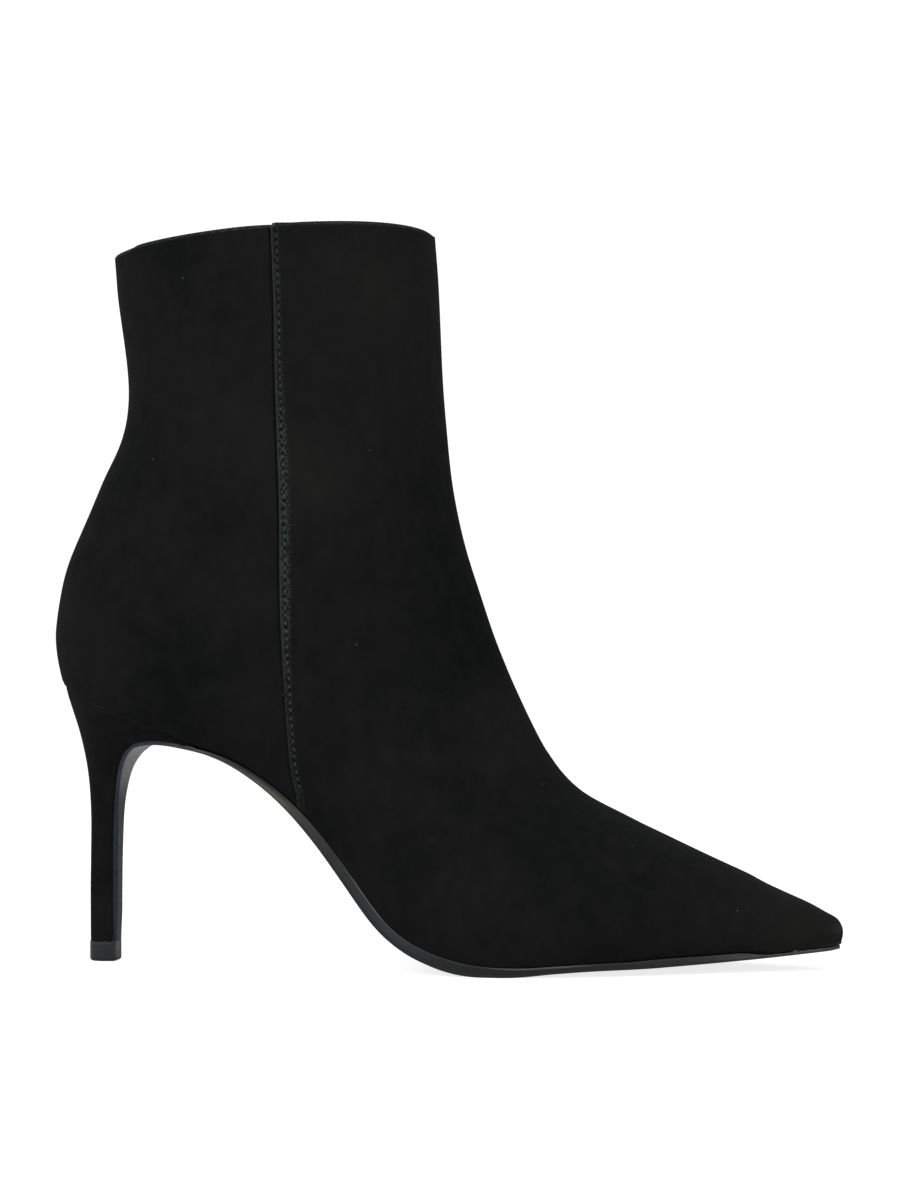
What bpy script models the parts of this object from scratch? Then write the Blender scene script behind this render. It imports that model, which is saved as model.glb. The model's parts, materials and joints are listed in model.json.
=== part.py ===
"""Pointed suede ankle boot on a stiletto heel, for the right foot.

Tables are in millimetres in the boot's own frame: x runs from the back of the heel to the toe,
y to the inner side of the foot (the outer side is negative) and z up from the floor.
"""
import math

import bmesh
import bpy
import numpy as np

MM = 0.001
LENGTH = 240.0
GAP = 0.3

WALL = 1.8
LAP = 0.9
LAP_RUN = 12.0
LAP_FADE = 6.0
TOPLINE_RISE = 4.0
TOPLINE_SKEW = 0.25
SEAM_TOP = (73.0, 221.3)
SEAM_SLOPE = 0.0382

SEAT_BACK = (3.0, 85.4)
SEAT_FRONT = (51.0, 65.7)
SEAT_ROUND = 22.0
SEAT_TUCK = 0.3
TOE_ROUND = 5.0
TOE_Y = 2.2
SOLE_EDGE = 0.6
SOLE_BEVEL = 0.35
FLAP_THICK = 1.0
FLAP_INSET = 0.3
INSOLE_THICK = 2.5
INSOLE_INSET = 2.7
INSOLE_SPAN = (6.5, 226.0)
INSOLE_BACK_ROUND = 17.6
INSOLE_TIP_HALF = 0.5

SEAT_STEPS = 5
REAR_STEPS = 9
FRONT_STEPS = 10
BAND_STEPS = 4
ROW_STEPS = 2
OUTLINE_STEPS = 6
SECTION_SAMPLES = 40
HEEL_RING_STEPS = 9
INSOLE_SECTIONS = 45
LEAST_CUT = 0.0004

# Shaft rings from the collar to the swell of the heel. Belly is the share of the length where a ring is
# widest, and heel and crown are the powers of its round ends at the back and at the front.
# back_x, back_z, front_x, front_z, outer, inner, belly, heel, crown
SHAFT = (
    (18.8, 214.9, 117.3, 220.9, -30.0, 30.0, 0.50, 2.10, 2.10),
    (20.0, 201.0, 118.5, 203.5, -30.0, 30.0, 0.50, 2.10, 2.10),
    (23.1, 178.0, 119.6, 178.0, -30.3, 30.3, 0.50, 2.10, 2.10),
    (21.9, 162.0, 121.0, 160.5, -30.8, 30.8, 0.49, 2.12, 2.10),
    (16.0, 148.3, 122.4, 147.5, -31.2, 31.2, 0.48, 2.16, 2.05),
    (10.2, 134.6, 124.4, 136.0, -31.4, 31.4, 0.46, 2.22, 2.05),
    (4.3, 120.0, 127.2, 124.5, -31.3, 31.3, 0.44, 2.30, 2.00),
    (1.2, 103.5, 130.9, 113.0, -30.8, 30.8, 0.42, 2.36, 2.00),
)

# Arches of the foot, each standing on the sole line at sole_x, from the heel seat to the toe.
# sole_x, front_x, front_z, ridge_y, outer, inner, belly, heel, crown
FOOT = (
    (25.0, 137.0, 95.3, 0.6, -29.6, 29.4, 0.40, 2.20, 2.00),
    (40.0, 140.2, 87.5, 1.2, -28.9, 28.5, 0.41, 2.10, 1.92),
    (58.0, 144.0, 79.0, 2.0, -28.4, 27.9, 0.44, 2.00, 1.85),
    (72.0, 147.6, 71.5, 2.7, -28.6, 28.0, 0.44, 2.00, 1.80),
    (85.0, 151.4, 64.5, 3.2, -29.6, 29.0, 0.42, 2.00, 1.80),
    (97.0, 155.7, 58.3, 3.5, -31.5, 30.8, 0.36, 2.00, 1.80),
    (108.0, 160.6, 53.4, 3.6, -34.0, 33.0, 0.30, 2.00, 1.80),
    (120.0, 166.5, 49.5, 3.6, -36.6, 35.4, 0.24, 2.00, 1.85),
    (140.0, 176.0, 44.8, 3.5, -38.3, 37.4, 0.18, 2.00, 1.90),
    (165.0, 189.0, 38.5, 3.3, -34.8, 36.2, 0.16, 2.00, 1.95),
    (190.0, 203.0, 32.0, 3.0, -25.2, 28.8, 0.18, 2.00, 2.00),
    (212.0, 217.5, 25.6, 2.6, -15.4, 19.8, 0.22, 2.00, 2.10),
    (228.0, 229.5, 20.2, 2.3, -8.2, 12.6, 0.28, 2.00, 2.20),
    (236.0, 236.4, 16.4, 2.2, -4.8, 9.2, 0.32, 2.00, 2.20),
    (238.4, 238.5, 14.9, 2.2, -3.8, 8.2, 0.36, 2.00, 2.20),
    (239.6, 239.6, 13.0, 2.2, -3.3, 7.7, 0.40, 2.00, 2.20),
    (240.0, 240.0, 11.0, 2.2, -3.1, 7.5, 0.44, 2.00, 2.20),
)

# Plan outline of the line where the upper stands on heel and sole.
# x, outer, inner
OUTLINE = (
    (3.0, -24.0, 24.0),
    (25.0, -24.5, 24.0),
    (45.0, -23.4, 20.4),
    (60.0, -21.9, 16.6),
    (75.0, -21.6, 14.6),
    (90.0, -24.4, 16.4),
    (105.0, -29.6, 22.8),
    (120.0, -34.7, 30.2),
    (135.0, -37.4, 34.9),
    (148.0, -37.4, 36.7),
    (160.0, -35.2, 36.2),
    (175.0, -30.3, 33.0),
    (190.0, -24.0, 27.6),
    (205.0, -17.3, 21.6),
    (220.0, -10.8, 15.2),
    (232.0, -5.8, 10.1),
    (240.0, -2.6, 7.0),
)

# Underside of the sole from the heel wing to the toe.
# x, z, thick
SOLE = (
    (51.0, 64.2, 1.1),
    (58.0, 61.2, 1.6),
    (67.5, 54.8, 2.4),
    (76.7, 46.4, 3.1),
    (86.0, 35.7, 3.5),
    (95.5, 23.2, 3.7),
    (105.2, 11.5, 3.8),
    (117.9, 3.6, 3.7),
    (130.0, 0.0, 3.4),
    (148.0, 0.0, 2.8),
    (160.0, 0.7, 2.5),
    (175.0, 1.6, 2.3),
    (190.0, 2.5, 2.1),
    (205.0, 3.4, 1.9),
    (220.0, 4.5, 1.6),
    (232.0, 5.6, 1.4),
    (237.5, 6.1, 1.3),
    (239.2, 6.4, 1.2),
    (239.9, 6.5, 1.2),
)

# Heel sections, each from the front of the flap to the back of the heel.
# breast_x, breast_z, breast_half, back_x, back_z, half
HEEL = (
    (19.5, 6.1, 4.0, 11.2, 6.1, 4.4),
    (19.5, 24.0, 4.1, 11.1, 24.0, 4.5),
    (19.8, 42.0, 4.7, 11.3, 41.0, 5.2),
    (21.2, 54.6, 6.8, 10.8, 53.5, 7.6),
    (23.3, 61.4, 9.8, 9.7, 62.5, 11.2),
    (27.3, 65.7, 14.2, 8.2, 70.0, 16.0),
    (35.0, 66.8, 18.5, 6.2, 76.5, 20.3),
    (43.0, 65.8, 20.7, 4.6, 81.3, 23.0),
)
HEEL_BELLY = 0.53
HEEL_STEP = 0.8
WING_X = 47.5
WAIST_HALF = 22.0

# Sections of the top piece from the floor up, and how far they stand out of the foot of the heel.
# z, inset
TOP_PIECE = (
    (0.0, 0.4),
    (0.4, 0.0),
    (5.5, 0.0),
    (5.8, 0.3),
)
TOP_PIECE_FRONT = -0.1
TOP_PIECE_BACK = 0.4
TOP_PIECE_SIDE = 0.2
TOP_PIECE_SQUARE = 0.6


def through(rows, steps):
    """Rows of a table with a smooth curve through them, in a number of steps for each interval."""
    keys = np.array(rows, float)
    before = np.vstack([2 * keys[0] - keys[1], keys[:-1]])
    after = np.vstack([keys[1:], 2 * keys[-1] - keys[-2]])
    slope = (after - before) / 2
    filled = []
    for k in range(len(keys) - 1):
        for step in range(steps):
            t = step / steps
            filled.append(
                keys[k] * (2 * t**3 - 3 * t**2 + 1)
                + keys[k + 1] * (3 * t**2 - 2 * t**3)
                + slope[k] * (t**3 - 2 * t**2 + t)
                + slope[k + 1] * (t**3 - t**2)
            )
    filled.append(keys[-1])
    return np.array(filled)


def round_end(distance, radius):
    """Share of the full width at a distance from the tip of a round end."""
    left = 1 - min(max(distance / radius, 0.0), 1.0)
    return math.sqrt(1 - left * left)


def toe_width(x, y):
    """A width of the toe drawn in to the round tip."""
    return TOE_Y + (y - TOE_Y) * round_end(LENGTH - x, TOE_ROUND) if x > LENGTH - TOE_ROUND else y


OUTLINE_CURVE = through(OUTLINE, OUTLINE_STEPS)


def outline(x):
    """Outer and inner y of the line on which the upper stands."""
    outer = float(np.interp(x, OUTLINE_CURVE[:, 0], OUTLINE_CURVE[:, 1]))
    inner = float(np.interp(x, OUTLINE_CURVE[:, 0], OUTLINE_CURVE[:, 2]))
    back = round_end(x - SEAT_BACK[0], SEAT_ROUND)
    return toe_width(x, outer * back), toe_width(x, inner * back)


def sole_path():
    """Stations of the outsole: underside point, upward normal, thickness, outer and inner y."""
    breast = [(x, z, FLAP_THICK, half) for x, z, half, _, _, _ in HEEL]
    flap = through(breast + [(*SOLE[0], WAIST_HALF)], ROW_STEPS)
    sole = through(SOLE, ROW_STEPS)
    stations = []
    for x, z, thick, half in flap[:-1]:
        stations.append((x, z, thick, FLAP_INSET - half, half - FLAP_INSET))
    for x, z, thick in sole:
        outer, inner = outline(min(x, LENGTH))
        stations.append((x, max(z, 0.0), thick, outer - SOLE_EDGE, inner + SOLE_EDGE))
    stations = np.array(stations)
    run = np.gradient(stations[:, :2], axis=0)
    run /= np.linalg.norm(run, axis=1)[:, None]
    normals = np.column_stack([-run[:, 1], run[:, 0]])
    return stations, normals


STATIONS, NORMALS = sole_path()
CONTACT = STATIONS[:, :2] + NORMALS * (STATIONS[:, 2] + GAP)[:, None]
SEAT_LINE = np.vstack([[SEAT_BACK, SEAT_FRONT], CONTACT[CONTACT[:, 0] > SEAT_FRONT[0] + 2.0]])


def seat_z(x):
    """Height of the line on which the upper and the insole stand."""
    return float(np.interp(x, SEAT_LINE[:, 0], SEAT_LINE[:, 1]))


def half_section(foot, full, belly, heel, crown):
    """Half of a section as shares of its length and distances out, from its foot to its ridge."""
    cut = max(1 - (foot / full) ** heel, LEAST_CUT) if full > foot else LEAST_CUT
    low = np.linspace(math.asin(math.sqrt(cut)), 0.0, SECTION_SAMPLES)
    high = np.linspace(0.0, math.pi / 2, SECTION_SAMPLES)[1:]
    along = np.concatenate([
        belly * (1 - np.sin(low) ** (2 / heel) / cut ** (1 / heel)),
        belly + (1 - belly) * np.sin(high) ** (2 / crown),
    ])
    out = np.concatenate([
        full * np.clip(np.cos(low), 0, 1) ** (2 / heel),
        full * np.clip(np.cos(high), 0, 1) ** (2 / crown),
    ])
    return along, out


def spaced(along, out, length, start, stop, steps):
    """Points at even distances on a half section between two shares of its length."""
    run = np.concatenate([[0], np.cumsum(np.hypot(np.diff(along) * length, np.diff(out)))])
    first, last = np.interp([start, stop], along, run)
    at = np.linspace(first, last, steps + 1)
    return np.interp(at, run, along), np.interp(at, run, out)


def seam_share(back, front):
    """Share of a section's length at which the side seam crosses it."""
    run_x = front[0] - back[0]
    run_z = front[1] - back[1]
    reach = SEAM_TOP[0] + SEAM_SLOPE * (SEAM_TOP[1] - back[1]) - back[0]
    return max(reach / (run_x + SEAM_SLOPE * run_z), 0.0)


def section_row(back, front, ridge, feet, outer, inner, belly, heel, crown, folded=0):
    """Points of one section for the outer and the inner side, with its first columns folded on its foot."""
    run_x = front[0] - back[0]
    run_z = front[1] - back[1]
    length = math.hypot(run_x, run_z)
    seam = seam_share(back, front)
    halves = []
    for side, full, foot in ((-1, outer, feet[0]), (1, inner, feet[1])):
        along, out = half_section(abs(foot - ridge), abs(full - ridge), belly, heel, crown)
        rear = spaced(along, out, length, 0.0, seam, REAR_STEPS - folded)
        fore = spaced(along, out, length, seam, 1.0, FRONT_STEPS)
        share = np.concatenate([np.full(folded, rear[0][0]), rear[0], fore[0]])
        reach = np.concatenate([np.full(folded, rear[1][0]), rear[1], fore[1]])
        x = back[0] + share * run_x
        z = back[1] + share * run_z
        halves.append(np.column_stack([x, ridge + side * reach, z]))
    return np.array(halves)


def foot_row(sole_x, front_x, front_z, ridge, outer, inner, belly, heel, crown):
    """Points of one arch of the foot."""
    sole_x = min(sole_x, LENGTH)
    feet = outline(sole_x)
    outer = min(toe_width(sole_x, outer), feet[0])
    inner = max(toe_width(sole_x, inner), feet[1])
    back = (sole_x, seat_z(sole_x))
    return section_row(back, (front_x, front_z), ridge, feet, outer, inner, belly, heel, crown, SEAT_STEPS)


def heel_band(rings, arches):
    """Rows that carry the last ring of the shaft down to the seat, where the first arch begins."""
    top, before = rings[-1], rings[-2]
    seat, after = arches[0], arches[1]
    down = top - before
    end = after - seat
    for side, sign in ((0, -1), (1, 1)):
        for j in range(SEAT_STEPS + 1):
            turn = math.pi / 2 * j / SEAT_STEPS
            x = SEAT_BACK[0] + SEAT_ROUND * (1 - math.cos(turn))
            seat[side, j] = (x, outline(x)[side], seat_z(x))
            end[side, j] = (SEAT_TUCK * math.cos(turn), -sign * SEAT_TUCK * math.sin(turn), -1.0)
    reach = np.linalg.norm(seat - top, axis=2, keepdims=True)
    down = down / np.linalg.norm(down, axis=2, keepdims=True) * reach
    end = end / np.linalg.norm(end, axis=2, keepdims=True) * reach
    band = []
    for step in range(1, BAND_STEPS):
        t = step / BAND_STEPS
        band.append(
            top * (2 * t**3 - 3 * t**2 + 1)
            + seat * (3 * t**2 - 2 * t**3)
            + down * (t**3 - 2 * t**2 + t)
            + end * (t**3 - t**2)
        )
    return band


def upper_grid():
    """Points of the upper's smooth outer face, in rows of rear and front columns for each side."""
    rings = []
    for back_x, back_z, front_x, front_z, outer, inner, belly, heel, crown in through(SHAFT, ROW_STEPS):
        ends = (back_x, back_z), (front_x, front_z)
        rings.append(section_row(*ends, 0.0, (0.0, 0.0), outer, inner, belly, heel, crown))
    arches = [foot_row(*row) for row in through(FOOT, ROW_STEPS)]
    band = heel_band(rings, arches)
    grid = np.array(rings + band + arches)
    seat_row = len(rings) + len(band)
    grid[:, 1, -1] = grid[:, 0, -1]
    grid[:seat_row + 1, 1, 0] = grid[:seat_row + 1, 0, 0]
    grid[-1, 1] = grid[-1, 0]
    grid[:, :, REAR_STEPS + 1] = grid[:, :, REAR_STEPS]
    lift_topline(grid)
    return grid, seat_row


def cells(rows, columns, seat_row):
    """Row and column of each quad of the grid, without those folded on the foot of an arch."""
    return [(i, j) for i in range(rows - 1) for j in range(columns - 1) if i < seat_row or j >= SEAT_STEPS]


def lift_topline(grid):
    """Raise the sides of the collar over its front and back, fading out down the shaft."""
    shaft_rows = (len(SHAFT) - 1) * ROW_STEPS // 3
    for row in range(shaft_rows):
        fade = (1 - row / shaft_rows) ** 2
        span = grid[row, :, :, 0]
        share = (span - span.min()) / (span.max() - span.min())
        arch = 2 * np.sqrt(np.clip(share * (1 - share), 0, 0.25))
        grid[row, :, :, 2] += TOPLINE_RISE * fade * arch * (1 + TOPLINE_SKEW * (2 * share - 1))


def grid_normals(grid, seat_row):
    """Outward normals of the grid, shared where its points meet."""
    sums = {}
    keys = np.round(grid, 4)
    rows, sides, columns, _ = grid.shape
    for side, turn in ((0, -1), (1, 1)):
        for i, j in cells(rows, columns, seat_row):
            corners = ((i, j), (i, j + 1), (i + 1, j + 1), (i + 1, j))
            a, b, c, d = (grid[row, side, column] for row, column in corners)
            face = np.cross(c - a, d - b) * turn
            for row, column in corners:
                key = tuple(keys[row, side, column])
                sums[key] = sums.get(key, 0) + face
    normals = np.zeros_like(grid)
    for i in range(rows):
        for side in range(sides):
            for j in range(columns):
                total = sums[tuple(keys[i, side, j])]
                normals[i, side, j] = total / np.linalg.norm(total)
    return normals


def smooth(share):
    """Ease from 0 to 1."""
    share = min(max(share, 0.0), 1.0)
    return share * share * (3 - 2 * share)


def lap_height(point, foot_gap):
    """How far the front panel stands proud of the rear panel at a point."""
    ahead = point[0] - (SEAM_TOP[0] + SEAM_SLOPE * (SEAM_TOP[1] - point[2]))
    return LAP * (1 - smooth(ahead / LAP_RUN)) * smooth(foot_gap / LAP_FADE)


def foot_inside(point, normal):
    """Inner edge of the wall where it stands on the seat."""
    level = normal * (1, 1, 0)
    size = np.linalg.norm(level)
    inside = point - level / size * WALL * min(1 / size, 1.4)
    inside[2] = seat_z(inside[0])
    return inside


def upper_faces():
    """Vertices and faces of the hollow upper."""
    base, seat_row = upper_grid()
    normals = grid_normals(base, seat_row)
    rows, sides, columns, _ = base.shape
    face_out = base.copy()
    face_in = base - normals * WALL
    for side in range(sides):
        for i in range(rows):
            foot = base[i, side, 0]
            for j in range(REAR_STEPS + 1, columns):
                rise = lap_height(base[i, side, j], np.linalg.norm(base[i, side, j] - foot))
                face_out[i, side, j] += normals[i, side, j] * rise
        for j in range(columns):
            level = normals[0, side, j] * (1, 1, 0)
            face_in[0, side, j] = base[0, side, j] - level / np.linalg.norm(level) * WALL
        for i in range(seat_row, rows):
            for j in range(columns):
                if j <= SEAT_STEPS or np.array_equal(base[i, side, j], base[i, side, SEAT_STEPS]):
                    face_in[i, side, j] = foot_inside(base[i, side, j], normals[i, side, j])
    verts = np.concatenate([face_out.reshape(-1, 3), face_in.reshape(-1, 3)])

    def at(i, side, j, inside=0):
        return ((inside * rows + i) * sides + side) * columns + j

    faces = []
    for side in range(sides):
        rims = [((0, j), (0, j + 1)) for j in range(columns - 1)]
        rims += [((seat_row, j + 1), (seat_row, j)) for j in range(SEAT_STEPS)]
        rims += [((i + 1, SEAT_STEPS), (i, SEAT_STEPS)) for i in range(seat_row, rows - 1)]
        quads = []
        for i, j in cells(rows, columns, seat_row):
            ring = ((i, j), (i, j + 1), (i + 1, j + 1), (i + 1, j))
            quads.append([at(row, side, column) for row, column in ring])
            quads.append([at(row, side, column, 1) for row, column in ring][::-1])
        for (i, j), (k, m) in rims:
            quads.append([at(i, side, j, 1), at(k, side, m, 1), at(k, side, m), at(i, side, j)])
        faces += quads if side == 0 else [quad[::-1] for quad in quads]
    return verts, faces


def loft(rings):
    """Vertices and faces of a solid through rings of equal count, closed at both ends."""
    count = len(rings[0])
    last = (len(rings) - 1) * count
    verts = np.concatenate(rings)
    faces = [list(range(count))[::-1], [last + j for j in range(count)]]
    for i in range(len(rings) - 1):
        for j in range(count):
            k = (j + 1) % count
            faces.append([i * count + j, i * count + k, (i + 1) * count + k, (i + 1) * count + j])
    return verts, faces


def outsole_faces():
    """Vertices and faces of the outsole with its heel flap."""
    rings = []
    for (x, z, thick, outer, inner), normal in zip(STATIONS, NORMALS):
        bevel = min(SOLE_BEVEL * thick, 0.3 * (inner - outer))
        profile = (
            (outer, thick),
            (outer, bevel),
            (outer + bevel, 0.0),
            (inner - bevel, 0.0),
            (inner, bevel),
            (inner, thick),
        )
        ring = []
        for y, rise in profile:
            ring.append((x + normal[0] * rise, y, z + normal[1] * rise))
        rings.append(np.array(ring))
    return loft(rings)


def heel_ring(front, back, breast_half, outer, inner):
    """Closed ring of a heel section, from its flat front round its back."""
    length = math.hypot(back[0] - front[0], back[1] - front[1])
    halves = []
    for side, full in ((-1, abs(outer)), (1, inner)):
        along, out = half_section(breast_half, max(full, breast_half + 0.05), HEEL_BELLY, 2.0, 2.0)
        share, reach = spaced(along, out, length, 0.0, 1.0, HEEL_RING_STEPS)
        halves.append(np.column_stack([
            front[0] + share * (back[0] - front[0]),
            side * reach,
            front[1] + share * (back[1] - front[1]),
        ]))
    return np.vstack([halves[0], halves[1][-2::-1]])


def heel_faces():
    """Vertices and faces of the heel block, from the top piece to the seat."""
    wing = int(np.argmin(abs(CONTACT[:, 0] - WING_X)))
    seat_slope = (SEAT_FRONT[1] - SEAT_BACK[1]) / (SEAT_FRONT[0] - SEAT_BACK[0])
    rings = []
    sections = through(HEEL, ROW_STEPS)
    for k, (_, _, breast_half, back_x, back_z, half) in enumerate(sections):
        front = CONTACT[k]
        rings.append(heel_ring(front, (back_x, back_z), breast_half, -half, half))
    front = (CONTACT[wing][0], SEAT_BACK[1] + seat_slope * (CONTACT[wing][0] - SEAT_BACK[0]) - GAP)
    back = (SEAT_BACK[0] + HEEL_STEP, SEAT_BACK[1] + seat_slope * HEEL_STEP - GAP)
    outer, inner = outline(SEAT_BACK[0] + SEAT_ROUND)
    front_half = min(abs(outline(front[0])[0]), outline(front[0])[1])
    rings.append(heel_ring(front, back, front_half, outer, inner))
    return loft(rings)


def top_piece_faces():
    """Vertices and faces of the wearing piece under the heel."""
    rings = []
    breast_x, _, _, back_x, _, heel_half = HEEL[0]
    for z, inset in TOP_PIECE:
        front = (breast_x + TOP_PIECE_FRONT - inset, z)
        back = (back_x - TOP_PIECE_BACK + inset, z)
        half = heel_half + TOP_PIECE_SIDE - inset
        rings.append(heel_ring(front, back, half - TOP_PIECE_SQUARE, -half, half))
    return loft(rings)


def insole_faces():
    """Vertices and faces of the insole."""
    rings = []
    start, stop = INSOLE_SPAN
    spread = np.linspace(0, math.pi, INSOLE_SECTIONS)
    for x in start + (stop - start) * (1 - np.cos(spread)) / 2:
        tilt = math.atan2(seat_z(x + 0.5) - seat_z(x - 0.5), 1.0)
        outer, inner = outline(x)
        tuck = round_end(x - start, INSOLE_BACK_ROUND) * round_end(stop - x, TOE_ROUND)
        middle = (outer + inner) / 2
        half = (inner - outer) / 2 - INSOLE_INSET
        half = min(half, max(half * tuck, INSOLE_TIP_HALF))
        up = (-math.sin(tilt) * INSOLE_THICK, math.cos(tilt) * INSOLE_THICK)
        z = seat_z(x)
        rings.append(np.array([
            (x, middle - half, z),
            (x, middle + half, z),
            (x + up[0], middle + half, z + up[1]),
            (x + up[0], middle - half, z + up[1]),
        ]))
    return loft(rings)


def make_material(name, colour, roughness):
    """Principled material of one colour."""
    material = bpy.data.materials.new(name)
    material.use_nodes = True
    shader = material.node_tree.nodes["Principled BSDF"]
    shader.inputs["Base Color"].default_value = (*colour, 1.0)
    shader.inputs["Roughness"].default_value = roughness
    material.diffuse_color = (*colour, 1.0)
    return material


def make_object(name, shape, material, collection, parent):
    """Solid object of one node from its vertices and faces."""
    verts, faces = shape
    mesh = bpy.data.meshes.new(name)
    bm = bmesh.new()
    made = [bm.verts.new(point * MM) for point in verts]
    for face in faces:
        bm.faces.new([made[index] for index in face])
    bmesh.ops.remove_doubles(bm, verts=bm.verts, dist=0.004 * MM)
    bmesh.ops.dissolve_degenerate(bm, edges=bm.edges, dist=0.002 * MM)
    bmesh.ops.recalc_face_normals(bm, faces=bm.faces)
    bm.to_mesh(mesh)
    bm.free()
    mesh.materials.append(material)
    thing = bpy.data.objects.new(name, mesh)
    collection.objects.link(thing)
    thing.parent = parent
    return thing


def main():
    for thing in list(bpy.data.objects):
        bpy.data.objects.remove(thing, do_unlink=True)
    boot = bpy.data.collections.new("ankle_boot")
    bpy.context.scene.collection.children.link(boot)
    middle = bpy.data.objects.new("ankle_boot", None)
    boot.objects.link(middle)
    suede = make_material("black suede", (0.012, 0.012, 0.012), 0.95)
    leather = make_material("black sole leather", (0.02, 0.021, 0.024), 0.45)
    rubber = make_material("hard heel rubber", (0.03, 0.031, 0.034), 0.4)
    board = make_material("insole leather", (0.03, 0.028, 0.026), 0.7)
    pieces = (
        ("upper", upper_faces(), suede),
        ("outsole", outsole_faces(), leather),
        ("heel", heel_faces(), suede),
        ("top_piece", top_piece_faces(), rubber),
        ("insole", insole_faces(), board),
    )
    made = [make_object(name, shape, material, boot, middle) for name, shape, material in pieces]
    corners = np.vstack([np.array([v.co for v in thing.data.vertices]) for thing in made])
    centre = (corners.min(axis=0) + corners.max(axis=0)) / 2
    middle.location = (-centre[0], -centre[1], 0.0)


main()
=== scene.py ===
"""Looks of a pointed suede ankle boot on a stiletto heel, laid out as a Blender add-on.

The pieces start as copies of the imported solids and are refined, seamed, creased and given their finish.
x runs from the heel to the toe, y to the inner side of the foot and z up from the floor, in metres.
"""

import json
import math

import bmesh
import bpy
from bpy.props import FloatProperty, FloatVectorProperty, IntProperty, PointerProperty
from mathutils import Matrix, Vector
from mathutils.bvhtree import BVHTree
from mathutils.kdtree import KDTree

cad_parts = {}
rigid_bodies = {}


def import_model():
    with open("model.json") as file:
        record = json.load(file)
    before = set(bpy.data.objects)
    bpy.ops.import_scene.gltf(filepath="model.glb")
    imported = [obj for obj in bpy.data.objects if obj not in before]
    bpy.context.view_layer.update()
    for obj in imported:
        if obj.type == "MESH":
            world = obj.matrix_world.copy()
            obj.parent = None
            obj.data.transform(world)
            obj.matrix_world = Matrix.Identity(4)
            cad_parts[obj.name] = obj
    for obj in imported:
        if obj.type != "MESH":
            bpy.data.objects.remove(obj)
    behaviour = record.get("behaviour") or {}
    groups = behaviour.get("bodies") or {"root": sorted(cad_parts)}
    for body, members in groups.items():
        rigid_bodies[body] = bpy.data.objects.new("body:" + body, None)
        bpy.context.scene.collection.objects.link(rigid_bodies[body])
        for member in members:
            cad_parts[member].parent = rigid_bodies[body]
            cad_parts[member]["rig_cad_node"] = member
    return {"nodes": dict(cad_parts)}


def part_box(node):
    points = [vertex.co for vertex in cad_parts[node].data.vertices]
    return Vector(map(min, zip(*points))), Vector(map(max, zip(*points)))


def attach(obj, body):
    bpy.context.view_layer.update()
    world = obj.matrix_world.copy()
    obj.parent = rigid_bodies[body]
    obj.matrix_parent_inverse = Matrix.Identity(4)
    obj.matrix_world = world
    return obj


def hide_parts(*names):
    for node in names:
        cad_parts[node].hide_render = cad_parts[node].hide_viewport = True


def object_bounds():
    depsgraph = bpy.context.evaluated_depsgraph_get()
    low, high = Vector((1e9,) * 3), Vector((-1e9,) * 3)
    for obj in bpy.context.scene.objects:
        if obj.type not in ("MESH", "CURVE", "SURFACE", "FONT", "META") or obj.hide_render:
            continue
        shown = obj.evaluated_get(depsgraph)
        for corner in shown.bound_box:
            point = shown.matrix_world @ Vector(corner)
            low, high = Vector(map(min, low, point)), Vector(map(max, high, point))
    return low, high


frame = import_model()
CAD_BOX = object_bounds()

bl_info = {
    "name": "Suede ankle boot",
    "version": (1, 0, 0),
    "blender": (4, 5, 0),
    "location": "View3D > Sidebar > Boot",
    "description": "Finishes a pointed suede ankle boot around its packed solids",
    "category": "Object",
}

BODY = "root"
MM = 0.001
OUTER, INNER = -1, 1
SUEDE_SIDE, LINED_SIDE = 0, 1
HOLE_SLOT = 1
# Sockets of the mix node that hold colours.
MIX_FIRST, MIX_SECOND, MIX_RESULT = 6, 7, 2

# Soft folds of the suede on both sides, each along a line in side view: middle x and z, turn from the level
# in degrees, half length, width and depth in millimetres. A negative depth is a ridge.
FOLDS = (
    (-16.0, 131.0, -26.0, 11.0, 11.0, 0.28),
    (-14.0, 117.0, -30.0, 12.0, 11.0, -0.22),
    (-8.0, 103.0, -34.0, 12.0, 12.0, 0.25),
    (14.0, 62.0, -42.0, 12.0, 11.0, 0.22),
    (-90.0, 158.0, 24.0, 9.0, 10.0, 0.30),
    (-92.0, 143.0, 18.0, 10.0, 10.0, -0.22),
    (-40.0, 128.0, 70.0, 24.0, 16.0, -0.35),
    (30.0, 34.0, 20.0, 16.0, 12.0, 0.22),
)

# Bow of the side seams off their straight line: the heights in metres between which a seam bends, from the
# upper to the lower one, and how far that takes it forward in millimetres.
SEAM_BOW = (
    (0.200, 0.172, -0.40),
    (0.144, 0.102, -1.20),
    (0.102, 0.072, 0.45),
    (0.064, 0.050, 1.15),
)

# Soft patches: mostly where handling has raised the nap or laid it down, a few of painted light and shade.
# x and z of the middle and radius in millimetres, and how much lighter the patch is. A negative value is
# darker.
NAP_AND_LIGHT_PATCHES = (
    (-16.0, 205.0, 34.0, 0.55),
    (-38.0, 146.0, 17.0, 0.90),
    (-66.0, 172.0, 22.0, 0.30),
    (-64.0, 115.0, 18.0, 0.35),
    (-104.0, 96.0, 20.0, 0.35),
    (0.0, 142.0, 18.0, -0.35),
    # Painted shade in the hollow in front of the ankle.
    (12.0, 104.0, 24.0, -0.55),
    (-78.0, 88.0, 22.0, -0.35),
    (18.0, 70.0, 14.0, 0.25),
    (46.0, 27.0, 24.0, -0.35),
    # Lighter toe, partly a painted highlight.
    (110.0, 15.0, 20.0, 0.75),
    # Painted highlight on the tip of the toe.
    (119.0, 12.5, 2.2, 2.8),
)

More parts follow.
